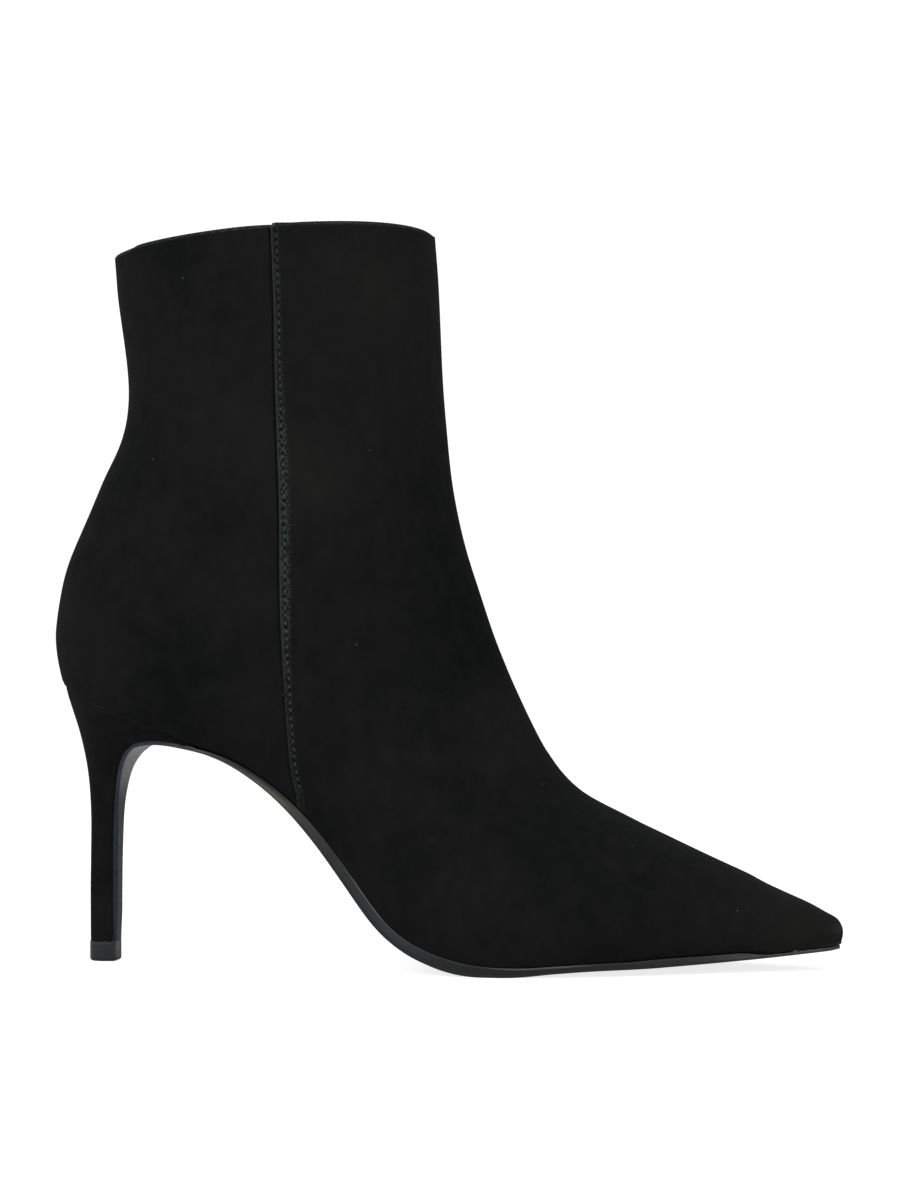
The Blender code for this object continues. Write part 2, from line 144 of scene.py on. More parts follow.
# Shifts along the sole: the stretch of x over which a shift comes in, the one over which it goes out again,
# from front to back, and its size in millimetres. The feather shifts raise the line where the upper meets
# the sole, the sole lifts raise the sole and the foot of the upper beside the ball of the foot, and the toe
# tucks draw the lower edge of the toe's tip back.
PAST_TOE = (0.20, 0.19)
FEATHER_SHIFTS = (
    ((-0.003, 0.007), (0.020, 0.009), 0.45),
    ((0.016, 0.038), (0.060, 0.040), -0.32),
    ((0.058, 0.067), (0.096, 0.090), 0.45),
    ((0.092, 0.099), PAST_TOE, -0.60),
    ((0.103, 0.111), PAST_TOE, 0.35),
)
SOLE_LIFTS = (
    ((-0.008, 0.001), (0.016, 0.004), 0.42),
    ((0.022, 0.038), (0.068, 0.044), 0.60),
)
TOE_TUCKS = (((0.1165, 0.1195), PAST_TOE, 0.28),)

# Soft lights: name, place from the camera's target, width in metres and share of the key light's power.
LIGHTS = (
    ("key_light", (-0.9, -1.1, 0.9), 1.0, 1.0),
    ("fill_light", (1.2, -0.9, 0.5), 1.2, 0.6),
    ("back_light", (-0.3, 1.0, 1.0), 1.4, 0.2),
)


def number(name, description, default, **kind):
    """Property for a number, with a unit or subtype where one fits."""
    return FloatProperty(name=name, description=description, default=default, precision=5, **kind)


def length(name, description, default):
    """Property for a length in metres."""
    return number(name, description, default, unit="LENGTH")


def paint(name, description, default):
    """Property for a colour."""
    return FloatVectorProperty(name=name, description=description, default=default, subtype="COLOR")


class BootShape(bpy.types.PropertyGroup):
    """Sizes of the seam and its stitches, and of the fit of the pieces."""

    seam_x: length("Seam at the topline", "Where the folded edge of the front panel starts", -0.04741)
    seam_z: length("Seam height", "Height at which the seam starts", 0.2213)
    seam_slope: number("Seam slope", "How far the seam runs forward for each metre that it drops", 0.0382)
    seam_foot: length("Seam foot", "Height at which the stitches end over the sole", 0.0525)
    stitch_margin: length("Stitch margin", "Distance of the stitches from the folded edge", 0.0013)
    stitch_pitch: length("Stitch pitch", "Distance from one stitch to the next", 0.00235)
    stitch_length: length("Stitch length", "Length of the thread that shows in one stitch", 0.00125)
    thread_width: length("Thread width", "Width of the sewing thread", 0.00043)
    hole_width: length("Needle hole", "Width of the needle's hole between two stitches", 0.00058)
    groove_depth: length("Stitch groove", "How far the thread draws the suede in", 0.00028)
    fold_over: length("Topline fold", "How far the suede is folded to the inside at the topline", 0.006)
    topline_drop: length("Topline drop", "How far the front panel's topline lies under the solid's", 0.0005)
    back_dip: length("Back dip", "How far the topline dips at the back of the leg", 0.0005)
    nap_height: length("Nap height", "How far the nap of the suede stands out from the solid", 0.00023)
    counter_swell: length("Counter swell", "How far the stiffener rounds the upper's back out", 0.00035)
    toe_round: length("Toe round", "How far the suede stands out round the tip of the toe", 0.0004)
    heel_cover: length("Heel cover", "How far the heel's covering stands out round its slim foot", 0.00035)
    heel_seat: length("Heel seat", "How far the heel's covering rises into the upper", 0.0002)
    wing_drop: length("Wing drop", "How far the tip of the heel's wing sinks on to the sole", 0.0004)
    breast_seat: length("Breast seat", "How far the heel's covering rises under the heel flap", 0.0002)
    flap_seat: length("Flap seat", "How far the flap and the sole's rear lie into the heel", 0.00035)
    flap_front: length("Flap front", "How far the heel flap stands out at its middle", 0.00035)
    top_piece_rise: length("Top piece rise", "How far the piece reaches up round the heel's foot", 0.0005)
    edge_round: length("Sole edge round", "Radius of the corners of the sole", 0.0001)
    refine: IntProperty(name="Refine", description="Subdivisions of the pieces", default=2, min=1, max=3)


class BootFinish(bpy.types.PropertyGroup):
    """Colours and scales of the finishes."""

    suede_dark: paint("Suede, nap laid down", "Suede where its nap lies flat", (0.0066, 0.0078, 0.0072))
    suede_light: paint("Suede, nap raised", "Suede where its nap stands up", (0.0131, 0.0136, 0.0128))
    # The pressed suede's colour also paints the highlight lines along the seam, the topline, the heel's top
    # and the toe.
    suede_pressed_and_highlight: paint("Suede, pressed", "Suede that the seam has pressed", (0.085, 0.090, 0.092))
    thread: paint("Thread", "Sewing thread", (0.125, 0.132, 0.134))
    lint: paint("Lint", "Specks of lint on the suede", (0.15, 0.155, 0.155))
    sole: paint("Sole", "Painted underside of the sole and of its heel flap", (0.018, 0.022, 0.035))
    sole_edge: paint("Sole edge", "Inked edge of the sole", (0.021, 0.0225, 0.025))
    sole_bare: paint("Sole edge, bare", "Edge of the sole where the ink is thin", (0.058, 0.056, 0.052))
    # Colour of the painted highlights on the sole's edge, of its lighter edge round the toe and of its
    # paler rear.
    sole_highlit_and_pale: paint("Sole, rubbed", "Sole where its edge is rubbed bare", (0.21, 0.198, 0.170))
    # Colour of the painted highlight line on the edge of the sole's waist.
    sole_waist_highlight: paint("Sole edge line", "Rubbed line on the edge of the sole's waist", (0.20, 0.20, 0.195))
    flap: paint("Heel flap edge", "Inked edge of the heel flap", (0.021, 0.0245, 0.033))
    top_piece: paint("Top piece", "Hard wearing piece", (0.015, 0.0165, 0.020))
    lining: paint("Lining", "Lining leather", (0.014, 0.0135, 0.013))
    nap_scale: number("Nap scale", "Tufts of the nap in a metre", 2600.0)


class BootStage(bpy.types.PropertyGroup):
    """Camera and light."""

    target: FloatVectorProperty(
        name="Target",
        description="Point in the middle of the picture",
        default=(0.0017, 0.00045, 0.1105),
        subtype="TRANSLATION",
    )
    distance: length("Distance", "Distance of the camera from the target", 1.1)
    azimuth: number("Azimuth", "Turn of the camera towards the toe", math.radians(8.0), subtype="ANGLE")
    lens: number("Lens", "Focal length for the height of the frame", 108.9, unit="CAMERA")
    frame_height: number("Frame height", "Height of the camera's frame", 36.0, unit="CAMERA")
    daylight: number("Daylight", "Strength of the even light from all sides", 0.39)
    key_power: number("Key light", "Power of the light over the heel", 9.5, unit="POWER")
    floor_size: length("Floor", "Side of the floor", 8.0)


def boot_shape():
    return bpy.context.scene.boot_shape


def boot_finish():
    return bpy.context.scene.boot_finish


class EditMode:
    """Edit mode of the active piece, for the length of a with block."""

    def __enter__(self):
        bpy.ops.object.mode_set(mode="EDIT")

    def __exit__(self, *problem):
        bpy.ops.object.mode_set(mode="OBJECT")


class OpenMesh:
    """Mesh of a piece for the length of a with block, written back at its end."""

    def __init__(self, piece):
        self.data = piece.data
        self.mesh = bmesh.new()

    def __enter__(self):
        self.mesh.from_mesh(self.data)
        return self.mesh

    def __exit__(self, *problem):
        self.mesh.to_mesh(self.data)
        self.mesh.free()


def deselect_all():
    """Leave edit mode and select nothing."""
    active = bpy.context.view_layer.objects.active
    if active is not None and active.mode != "OBJECT":
        bpy.ops.object.mode_set(mode="OBJECT")
    bpy.ops.object.select_all(action="DESELECT")


def make_active(piece):
    """Select one piece alone."""
    deselect_all()
    piece.select_set(True)
    bpy.context.view_layer.objects.active = piece


def copy_of_solid(node, name, merge=0.001 * MM):
    """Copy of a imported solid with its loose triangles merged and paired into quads."""
    make_active(frame["nodes"][node])
    bpy.ops.object.duplicate()
    piece = bpy.context.view_layer.objects.active
    piece.name = name
    piece.data.name = name
    del piece["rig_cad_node"]
    bpy.ops.object.parent_clear(type="CLEAR_KEEP_TRANSFORM")
    piece.data.materials.clear()
    pairing = math.radians(60)
    with EditMode():
        bpy.ops.mesh.select_all(action="SELECT")
        bpy.ops.mesh.remove_doubles(threshold=merge)
        bpy.ops.mesh.customdata_custom_splitnormals_clear()
        bpy.ops.mesh.tris_convert_to_quads(face_threshold=pairing, shape_threshold=pairing)
        bpy.ops.mesh.select_all(action="DESELECT")
    return piece


def select_where(piece, kind, wanted):
    """In edit mode, select the vertices, edges or faces that a test accepts, and count them."""
    bpy.ops.mesh.select_mode(type=kind)
    bpy.ops.mesh.select_all(action="DESELECT")
    mesh = bmesh.from_edit_mesh(piece.data)
    parts = {"VERT": mesh.verts, "EDGE": mesh.edges, "FACE": mesh.faces}[kind]
    parts.ensure_lookup_table()
    chosen = [part for part in parts if wanted(part)]
    for part in chosen:
        part.select_set(True)
    mesh.select_flush_mode()
    bmesh.update_edit_mesh(piece.data)
    return len(chosen)


def crease(piece, wanted, share):
    """Crease the edges that a test accepts."""
    if select_where(piece, "EDGE", wanted):
        bpy.ops.transform.edge_crease(value=share)


def soft_reach(size):
    """Settings of a transform that draws the points round the selected ones along."""
    return {
        "use_proportional_edit": True,
        "proportional_edit_falloff": "SMOOTH",
        "proportional_size": size,
        "use_proportional_connected": True,
    }


def apply_modifier(piece, kind, **settings):
    """Add a modifier to the active piece and apply it."""
    modifier = piece.modifiers.new(kind.title(), kind)
    for name, value in settings.items():
        setattr(modifier, name, value)
    bpy.ops.object.modifier_apply(modifier=modifier.name)


def refine(piece, passes=0, hold=None):
    """Smooth subdivision of the active piece. Passes draw it back to the solid's own points.

    With a hold, all points stay within that distance of the solid.
    """
    levels = boot_shape().refine
    wanted = [vert.co.copy() for vert in piece.data.vertices]
    solid = BVHTree.FromPolygons(wanted, [tuple(face.vertices) for face in piece.data.polygons])
    trial = piece.modifiers.new("Trial", "SUBSURF")
    trial.levels = levels
    for _ in range(passes):
        refined = piece.evaluated_get(bpy.context.evaluated_depsgraph_get()).data
        missing = [place - refined.vertices[index].co for index, place in enumerate(wanted)]
        for vert, step in zip(piece.data.vertices, missing):
            vert.co += step
        piece.data.update()
    piece.modifiers.remove(trial)
    apply_modifier(piece, "SUBSURF", levels=levels, render_levels=levels)
    if hold is not None:
        for vert in piece.data.vertices:
            place, _, _, apart = solid.find_nearest(vert.co)
            if apart > hold:
                vert.co = place + (vert.co - place) * (hold / apart)


def refine_with_edges(piece, degrees, share, passes=0, hold=None):
    """Refine the active piece and hold the edges that bend by more than some degrees."""
    with EditMode():
        crease(piece, lambda edge: bends(edge, degrees), share)
    refine(piece, passes, hold)


def smooth_shade(degrees):
    """Shade the active piece smooth, apart from the edges that bend by more than some degrees."""
    bpy.ops.object.shade_smooth_by_angle(angle=math.radians(degrees))


def finish_piece(piece, material, slot, *nodes):
    """Give a piece its finish and its place in the frame."""
    if material is not None:
        piece.data.materials.append(material)
    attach(piece, BODY)
    if nodes:
        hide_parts(*nodes)
    deselect_all()


def bend_angle(edge):
    """Angle between the two faces of an edge, positive where it is convex."""
    return edge.calc_face_angle_signed(0.0) if len(edge.link_faces) == 2 else 0.0


def bends(edge, degrees):
    return abs(bend_angle(edge)) > math.radians(degrees)


def middle(edge):
    return (edge.verts[0].co + edge.verts[1].co) / 2


def rise(value, low, high):
    """Smooth change from 0 at the low value to 1 at the high value."""
    share = max(0.0, min(1.0, (value - low) / (high - low)))
    return share * share * (3.0 - 2.0 * share)


def shift_at(x, shifts):
    """Sum of the shifts at one place along the sole."""
    return sum(size * MM * rise(x, *come) * rise(x, *go) for come, go, size in shifts)


def fade(distance, reach):
    """Share that falls evenly from 1 to 0 over a reach in millimetres."""
    return max(0.0, 1.0 - distance / (reach * MM))


def seam_distance(point):
    """Distance of a point in front of the folded edge of the front panel, before the seam is bowed."""
    shape = boot_shape()
    return point.x - shape.seam_x + shape.seam_slope * (point.z - shape.seam_z)


def seam_normal():
    return Vector((1.0, 0.0, boot_shape().seam_slope)).normalized()


def seam_bow(z):
    """How far the seam lies in front of its straight line at a height."""
    return sum(step * MM * rise(z, start, stop) for start, stop, step in SEAM_BOW)


def search_tree(mesh, wanted):
    """Search tree of the points that a test accepts."""
    places = [vert.co for vert in mesh.verts if wanted(vert)]
    tree = KDTree(len(places))
    for index, place in enumerate(places):
        tree.insert(place, index)
    tree.balance()
    return tree


def topline_tree(mesh):
    """Search tree of the points on the topline."""
    lowest = CAD_BOX[1].z - 11.0 * MM
    return search_tree(mesh, lambda vert: vert.normal.z > 0.75 and vert.co.z > lowest)


def foot_tree(mesh):
    """Search tree of the points that face the sole."""
    return search_tree(mesh, lambda vert: vert.normal.z < -0.6)


def new_tree(material):
    """Empty node tree of a material, with its shader and output."""
    material.use_nodes = True
    tree = material.node_tree
    tree.nodes.clear()
    shader = tree.nodes.new("ShaderNodeBsdfPrincipled")
    output = tree.nodes.new("ShaderNodeOutputMaterial")
    tree.links.new(shader.outputs["BSDF"], output.inputs["Surface"])
    return tree, shader


def set_inputs(tree, node, inputs):
    """Set the sockets of a node. A socket as a value is linked."""
    for name, value in inputs.items():
        if isinstance(value, bpy.types.NodeSocket):
            tree.links.new(value, node.inputs[name])
        else:
            node.inputs[name].default_value = value


def add_node(tree, kind, inputs, **settings):
    """Node with its settings and the values of its sockets."""
    node = tree.nodes.new(kind)
    for name, value in settings.items():
        setattr(node, name, value)
    set_inputs(tree, node, inputs)
    return node


def math_node(tree, operation, first, *others):
    """One operation on two or more values in turn."""
    for other in others:
        first = add_node(tree, "ShaderNodeMath", {0: first, 1: other}, operation=operation).outputs[0]
    return first


def times(tree, *factors):
    return math_node(tree, "MULTIPLY", *factors)


def plus(tree, *parts):
    return math_node(tree, "ADD", *parts)


def ramp(tree, value, low, high, start=0.0, stop=1.0):
    """Smooth change from one value to another."""
    inputs = {"Value": value, "From Min": low, "From Max": high, "To Min": start, "To Max": stop}
    return add_node(tree, "ShaderNodeMapRange", inputs, interpolation_type="SMOOTHSTEP").outputs["Result"]


def window(tree, value, come, go):
    """Mask that comes in over one stretch of a value and goes out over another."""
    return times(tree, ramp(tree, value, *come), ramp(tree, value, *go, 1.0, 0.0))


def with_alpha(colour):
    """Colour as a socket takes it. A socket stays as it is."""
    return colour if isinstance(colour, bpy.types.NodeSocket) else (*colour, 1.0)


def mix_colour(tree, share, first, second):
    inputs = {"Factor": share, MIX_FIRST: with_alpha(first), MIX_SECOND: with_alpha(second)}
    return add_node(tree, "ShaderNodeMix", inputs, data_type="RGBA", clamp_factor=False).outputs[MIX_RESULT]


def tint(colour, share):
    """Lighter or darker copy of a colour."""
    return tuple(share * part for part in colour)


def noise(tree, place, scale, detail):
    inputs = {"Vector": place, "Scale": scale, "Detail": detail}
    return add_node(tree, "ShaderNodeTexNoise", inputs).outputs["Fac"]


def stored(tree, name):
    """Value that the piece keeps at its points."""
    return add_node(tree, "ShaderNodeAttribute", {}, attribute_name=name).outputs["Fac"]


def along_axis(tree, place, axis):
    return add_node(tree, "ShaderNodeSeparateXYZ", {0: place}).outputs[axis]


def bump(tree, height, strength, depth, under=None):
    inputs = {"Height": height, "Strength": strength, "Distance": depth}
    if under is not None:
        inputs["Normal"] = under
    return add_node(tree, "ShaderNodeBump", inputs).outputs["Normal"]


def mottling(tree, place, scale):
    """Soft cloudy tone, coarse and fine together."""
    finer, coarse_share = 5.3, 0.62
    coarse = noise(tree, place, scale, 2.0)
    fine = noise(tree, place, times(tree, scale, finer), 3.0)
    tone = plus(tree, times(tree, coarse, coarse_share), times(tree, fine, 1.0 - coarse_share))
    return {"Tone": ramp(tree, tone, 0.32, 0.68)}


def pebbles(tree, place, scale):
    """Fine pebbled grain of smooth leather, with its height and its polish."""
    inputs = {"Vector": place, "Scale": scale}
    cells = add_node(tree, "ShaderNodeTexVoronoi", inputs, feature="SMOOTH_F1").outputs["Distance"]
    pores = noise(tree, place, scale, 4.0)
    height = plus(tree, times(tree, cells, 0.6), times(tree, pores, 0.5))
    return {"Height": height, "Polish": ramp(tree, pores, 0.3, 0.7)}


def specks(tree, place, scale):
    """Few small specks of lint."""
    cells = add_node(tree, "ShaderNodeTexVoronoi", {"Vector": place, "Scale": scale}).outputs["Distance"]
    return {"Mask": ramp(tree, cells, 0.013, 0.024, 1.0, 0.0)}


def use_pattern(tree, name, pattern, place, scale):
    """Outputs of a node group that holds a pattern, built the first time that it is asked for."""
    group = bpy.data.node_groups.get(name)
    if group is None:
        group = bpy.data.node_groups.new(name, "ShaderNodeTree")
        for socket, kind in (("Vector", "NodeSocketVector"), ("Scale", "NodeSocketFloat")):
            group.interface.new_socket(socket, in_out="INPUT", socket_type=kind)
        start = group.nodes.new("NodeGroupInput")
        results = pattern(group, start.outputs["Vector"], start.outputs["Scale"])
        for socket in results:
            group.interface.new_socket(socket, in_out="OUTPUT", socket_type="NodeSocketFloat")
        set_inputs(group, group.nodes.new("NodeGroupOutput"), results)
    return add_node(tree, "ShaderNodeGroup", {"Vector": place, "Scale": scale}, node_tree=group).outputs


def mottled(tree, place, scale):
    return use_pattern(tree, "Soft mottling", mottling, place, scale)["Tone"]


def leather_grain(tree, place, scale):
    return use_pattern(tree, "Leather grain", pebbles, place, scale)


def finish_named(name, painter, *details):
    """Material of a name, painted the first time that it is asked for."""
    material = bpy.data.materials.get(name)
    if material is None:
        material = bpy.data.materials.new(name)
        tree, shader = new_tree(material)
        place = tree.nodes.new("ShaderNodeTexCoord").outputs["Object"]
        painter(tree, shader, place, *details)
    return material


def seam_colour(tree, place, colour):
    """Colour of the suede with the side seam's pressed band, painted shadow and painted highlight lines."""
    shape, finish = boot_shape(), boot_finish()
    # Colour of the pressed suede, also used for the painted highlights, and of the dark pits, also used for
    # the painted shadow.
    rubbed = finish.suede_pressed_and_highlight
    pit = tint(finish.suede_dark, 0.35)
    height = along_axis(tree, place, "Z")
    forward = along_axis(tree, place, "X")
    speckle_scale = 2000.0
    speckle = noise(tree, place, speckle_scale, 2.0)

    # Distance in front of the folded edge, in millimetres.
    inputs = {0: place, 1: (1.0, 0.0, shape.seam_slope)}
    across = add_node(tree, "ShaderNodeVectorMath", inputs, operation="DOT_PRODUCT").outputs["Value"]
    across = math_node(tree, "SUBTRACT", across, shape.seam_x + shape.seam_slope * shape.seam_z)
    across = times(tree, across, 1 / MM)
    for start, stop, step in SEAM_BOW:
        across = math_node(tree, "SUBTRACT", across, ramp(tree, height, start, stop, 0.0, step))

    # The foot bends the boot over the ankle, so the band is widest and lightest there.
    ankle_start, ankle_end = (0.080, 0.115), (0.150, 0.185)
    swell = window(tree, height, ankle_start, ankle_end)
    width = plus(tree, times(tree, swell, 0.9), 2.0)
    far_side = ramp(tree, math_node(tree, "DIVIDE", across, width), 0.75, 1.15, 1.0, 0.0)
    band = times(tree, ramp(tree, across, 0.0, 0.4), far_side, plus(tree, times(tree, swell, 0.32), 0.28))
    colour = mix_colour(tree, band, colour, mix_colour(tree, ramp(tree, speckle, 0.40, 0.62), pit, rubbed))

    # Painted shadow of the front panel's lap, just behind its folded edge.
    behind = window(tree, across, (-1.5, -0.9), (-0.6, -0.4))
    behind = times(tree, behind, ramp(tree, height, 0.085, 0.150, 0.30, 0.75))
    colour = mix_colour(tree, behind, colour, pit)

    # Painted highlights: on the folded edge, just under the topline and on the heel's top edge where it
    # meets the upper,
    # and painted light along the foot of the toe's tip, over the shade where it meets the sole.
    fold = window(tree, across, (-0.5, -0.3), (0.0, 0.3))
    fold = times(tree, fold, ramp(tree, height, 0.055, 0.110, 0.45, 1.0))
    rim = window(tree, stored(tree, "below_topline"), (0.15, 0.50), (0.8, 1.4))
    joint = times(tree, stored(tree, "upper_edge"), ramp(tree, forward, -0.106, -0.098, 0.25, 1.0))
    toe = times(tree, ramp(tree, stored(tree, "near_foot"), 0.25, 0.90), ramp(tree, forward, 0.095, 0.108))

    # Each painted highlight line with the two levels of the speckle that it goes by and its strength at
    # each of them.
    lines = (
        (fold, (0.30, 0.60, 0.30, 0.65)),
        (rim, (0.40, 0.62, 0.05, 0.60)),
        (joint, (0.35, 0.65, 0.07, 0.34)),
        (toe, (0.35, 0.65, 0.10, 0.45)),
    )
    for line, strength in lines:
        colour = mix_colour(tree, times(tree, line, ramp(tree, speckle, *strength)), colour, rubbed)
    return colour


def paint_suede(tree, shader, place):
    """Black suede: brushed nap in soft patches, pressed along the side seam, painted shade and highlights
    by it and the topline.
    """
    finish = boot_finish()
    patch_scale, stroke_scale, lint_scale = 34.0, 230.0, 95.0
    brushed = add_node(tree, "ShaderNodeMapping", {"Vector": place, "Scale": (1.0, 1.0, 0.65)}).outputs[0]
    strokes = noise(tree, brushed, stroke_scale, 4.0)
    tufts = noise(tree, place, finish.nap_scale, 3.0)
    tone = plus(
        tree,
        times(tree, mottled(tree, place, patch_scale), 0.50),
        times(tree, ramp(tree, strokes, 0.3, 0.7), 0.30),
        times(tree, ramp(tree, tufts, 0.3, 0.7), 0.20),
        stored(tree, "nap_and_light"),
    )
    colour = mix_colour(tree, tone, finish.suede_dark, finish.suede_light)
    lint = use_pattern(tree, "Specks of lint", specks, place, lint_scale)["Mask"]
    colour = mix_colour(tree, times(tree, lint, 0.8), colour, finish.lint)
    height = plus(tree, tufts, times(tree, strokes, 0.6))
    inputs = {
        "Base Color": seam_colour(tree, place, colour),
        "Roughness": ramp(tree, tone, 0.0, 1.0, 0.98, 0.86),
        "Normal": bump(tree, height, 0.55, 0.35 * MM),
        "Specular IOR Level": 0.05,
        "Sheen Weight": 0.02,
        "Sheen Roughness": 0.45,
        "Sheen Tint": (0.85, 0.90, 0.88, 1.0),
    }
    set_inputs(tree, shader, inputs)


def inked_edge(tree, along, height, depth):
    """Colour of the sole's edge from the heel flap to the toe. The ink is thin at the rear of the waist."""
    finish = boot_finish()
    flap_end, flap_top = (-0.088, -0.080), (0.046, 0.060)
    rear_end, bare_end, ball_start = (-0.074, -0.062), (-0.048, -0.024), (-0.014, 0.008)
    pale_start, pale_end = (-0.068, -0.058), (-0.049, -0.040)
    ink = mix_colour(tree, ramp(tree, along, *ball_start), finish.sole_edge, tint(finish.sole_edge, 0.64))
    bare = mix_colour(tree, ramp(tree, along, *rear_end), tint(finish.sole_bare, 1.8), finish.sole_bare)
    ink = mix_colour(tree, ramp(tree, along, *bare_end), bare, ink)
    # Paler further below the top edge, over a stretch at the rear of the waist.
    paler_below = mix_colour(tree, ramp(tree, depth, 0.3, 1.8), finish.sole_edge, tint(finish.sole_highlit_and_pale, 0.65))
    ink = mix_colour(tree, window(tree, along, pale_start, pale_end), ink, paler_below)
    # Painted reflection: the flap's edge is lighter towards its top.
    flap = mix_colour(tree, ramp(tree, height, *flap_top), finish.flap, tint(finish.flap, 2.3))
    return mix_colour(tree, ramp(tree, along, *flap_end), flap, ink)


def highlit_and_pale_edges(tree, along, side, depth, patches):
    """Mask of the painted highlights along the edge under the upper and on the lower edge, and of a lighter
    toe edge.
    """
    waist_start, waist_end = (-0.030, -0.020), (-0.011, -0.003)
    ball_start, ball_end = (0.014, 0.028), (0.038, 0.052)
    rim_start, scuff_start, toe_start = (-0.045, -0.036), (-0.010, 0.015), (0.070, 0.112)
    # Painted highlight line along the edge under the upper, strongest at the waist and by the ball.
    waist = window(tree, along, waist_start, waist_end)
    ball = window(tree, along, ball_start, ball_end)
    line = plus(tree, times(tree, waist, 0.95), times(tree, ball, 0.60), 0.08)
    rim = math_node(tree, "MAXIMUM", stored(tree, "upper_edge"), ramp(tree, depth, 0.20, 0.50, 1.0, 0.0))
    rim = times(tree, rim, ramp(tree, along, *rim_start), line, ramp(tree, patches, 0.1, 0.9, 0.6, 1.0))
    # Painted highlight on the sole's lower edge, from the ball forward.
    lower_highlight = times(tree, stored(tree, "lower_edge"), ramp(tree, along, *scuff_start, 0.02, 0.12))
    # Lighter edge round the toe.
    toe = times(tree, ramp(tree, along, *toe_start), ramp(tree, side, 0.3, 0.9, 0.0, 0.55))
    toe = times(tree, toe, ramp(tree, patches, 0.1, 0.9, 0.4, 1.0))
    return math_node(tree, "MAXIMUM", rim, lower_highlight, toe)


def paint_sole(tree, shader, place):
    """Painted sole leather with an inked edge, a painted reflection on its flap's glossy top and painted
    highlights.
    """
    finish = boot_finish()
    grain_scale, patch_scale = 1400.0, 60.0
    along = along_axis(tree, place, "X")
    height = along_axis(tree, place, "Z")
    side = stored(tree, "side_edge")
    depth = stored(tree, "below_top")
    grain = leather_grain(tree, place, grain_scale)
    patches = mottled(tree, place, patch_scale)
    highlit_and_pale = highlit_and_pale_edges(tree, along, side, depth, patches)

    # The flap is glossier in the throat, where it turns into the sole's waist, and lighter with a painted
    # reflection.
    throat_foot, throat_end = (0.047, 0.059), (-0.080, -0.070)
    throat = times(tree, ramp(tree, height, *throat_foot), ramp(tree, along, *throat_end, 1.0, 0.0))
    throat_reflection = tuple(part + 0.042 for part in finish.sole)
    body = mix_colour(tree, throat, finish.sole, throat_reflection)
    body = mix_colour(tree, ramp(tree, side, 0.4, 0.8), body, inked_edge(tree, along, height, depth))
    body = mix_colour(tree, ramp(tree, patches, 0.0, 1.0, 0.0, 0.35), body, tint(finish.sole_edge, 0.4))
    # Colour of the painted highlights, the waist's line and the warmer glints ahead of it, and of the
    # lighter toe.
    highlight_colour = mix_colour(tree, ramp(tree, along, 0.0, 0.018), finish.sole_waist_highlight, finish.sole_highlit_and_pale)
    rough = plus(tree, times(tree, grain["Polish"], 0.16), 0.40, times(tree, highlit_and_pale, 0.25))
    inputs = {
        "Base Color": mix_colour(tree, highlit_and_pale, body, highlight_colour),
        "Roughness": math_node(tree, "SUBTRACT", rough, times(tree, throat, 0.26)),
        "Normal": bump(tree, grain["Height"], 0.4, 0.03 * MM),
        "Specular IOR Level": 0.35,
    }
    set_inputs(tree, shader, inputs)


def paint_leather(tree, shader, place, colour, roughness, grain_scale, grain_depth, rub=0.0, folded=False):
    """Smooth leather of one colour with a fine grain and soft patches, and a painted highlight on its upper
    edge.

    Where it is folded, the suede of the topline is turned over its upper end.
    """
    patch_scale, polish, fold_edge = 45.0, 0.14, 0.15
    grain = leather_grain(tree, place, grain_scale)
    patches = mottled(tree, place, patch_scale)
    body = mix_colour(tree, patches, tint(colour, 0.75), tint(colour, 1.3))
    # Painted highlight on the upper edge, as strong as the rub.
    body = mix_colour(tree, times(tree, stored(tree, "upper_edge"), rub), body, tint(colour, 9.0))
    rough = plus(tree, times(tree, grain["Polish"], polish), roughness - polish / 2)
    normal = bump(tree, grain["Height"], 0.4, grain_depth)
    if folded:
        end = boot_shape().fold_over / MM
        over = ramp(tree, stored(tree, "below_topline"), end - fold_edge, end + fold_edge, 1.0, 0.0)
        suede = mix_colour(tree, patches, boot_finish().suede_dark, boot_finish().suede_light)
        body = mix_colour(tree, over, body, suede)
        rough = math_node(tree, "MAXIMUM", rough, times(tree, over, 0.92))
        normal = bump(tree, over, 0.8, 0.5 * MM, normal)
    set_inputs(tree, shader, {"Base Color": body, "Roughness": rough, "Normal": normal})


def paint_hole_shade(tree, shader, place):
    """Needle hole painted dark as its shade, with a soft edge."""
    fibre_scale = 900.0
    tone = mottled(tree, place, fibre_scale)
    suede = boot_finish().suede_dark
    inputs = {
        "Base Color": mix_colour(tree, tone, tint(suede, 0.2), suede),
        "Roughness": ramp(tree, tone, 0.0, 1.0, 0.9, 1.0),
        "Specular IOR Level": 0.0,
    }
    set_inputs(tree, shader, inputs)


def paint_thread(tree, shader, place):
    """Twisted sewing thread, covered more and more by the nap towards the topline."""
    finish = boot_finish()
    twist_scale, fluff_scale = 900.0, 260.0
    twist_turn = (0.0, math.radians(35), 0.0)
    turned = add_node(tree, "ShaderNodeMapping", {"Vector": place, "Rotation": twist_turn}).outputs[0]
    twist = add_node(tree, "ShaderNodeTexWave", {"Vector": turned, "Scale": twist_scale}).outputs["Fac"]
    colour = mix_colour(tree, twist, tint(finish.thread, 0.45), finish.thread)
    fluff = ramp(tree, mottled(tree, place, fluff_scale), 0.0, 1.0, 0.45, 1.0)
    covered = times(tree, ramp(tree, along_axis(tree, place, "Z"), 0.14, 0.20, 0.45, 1.0), fluff, 0.88)
    inputs = {
        "Base Color": mix_colour(tree, covered, colour, finish.suede_light),
        "Normal": bump(tree, twist, 0.5, 0.1 * MM),
        "Roughness": 0.55,
    }
    set_inputs(tree, shader, inputs)


def suede_material():
    return finish_named("Black suede", paint_suede)


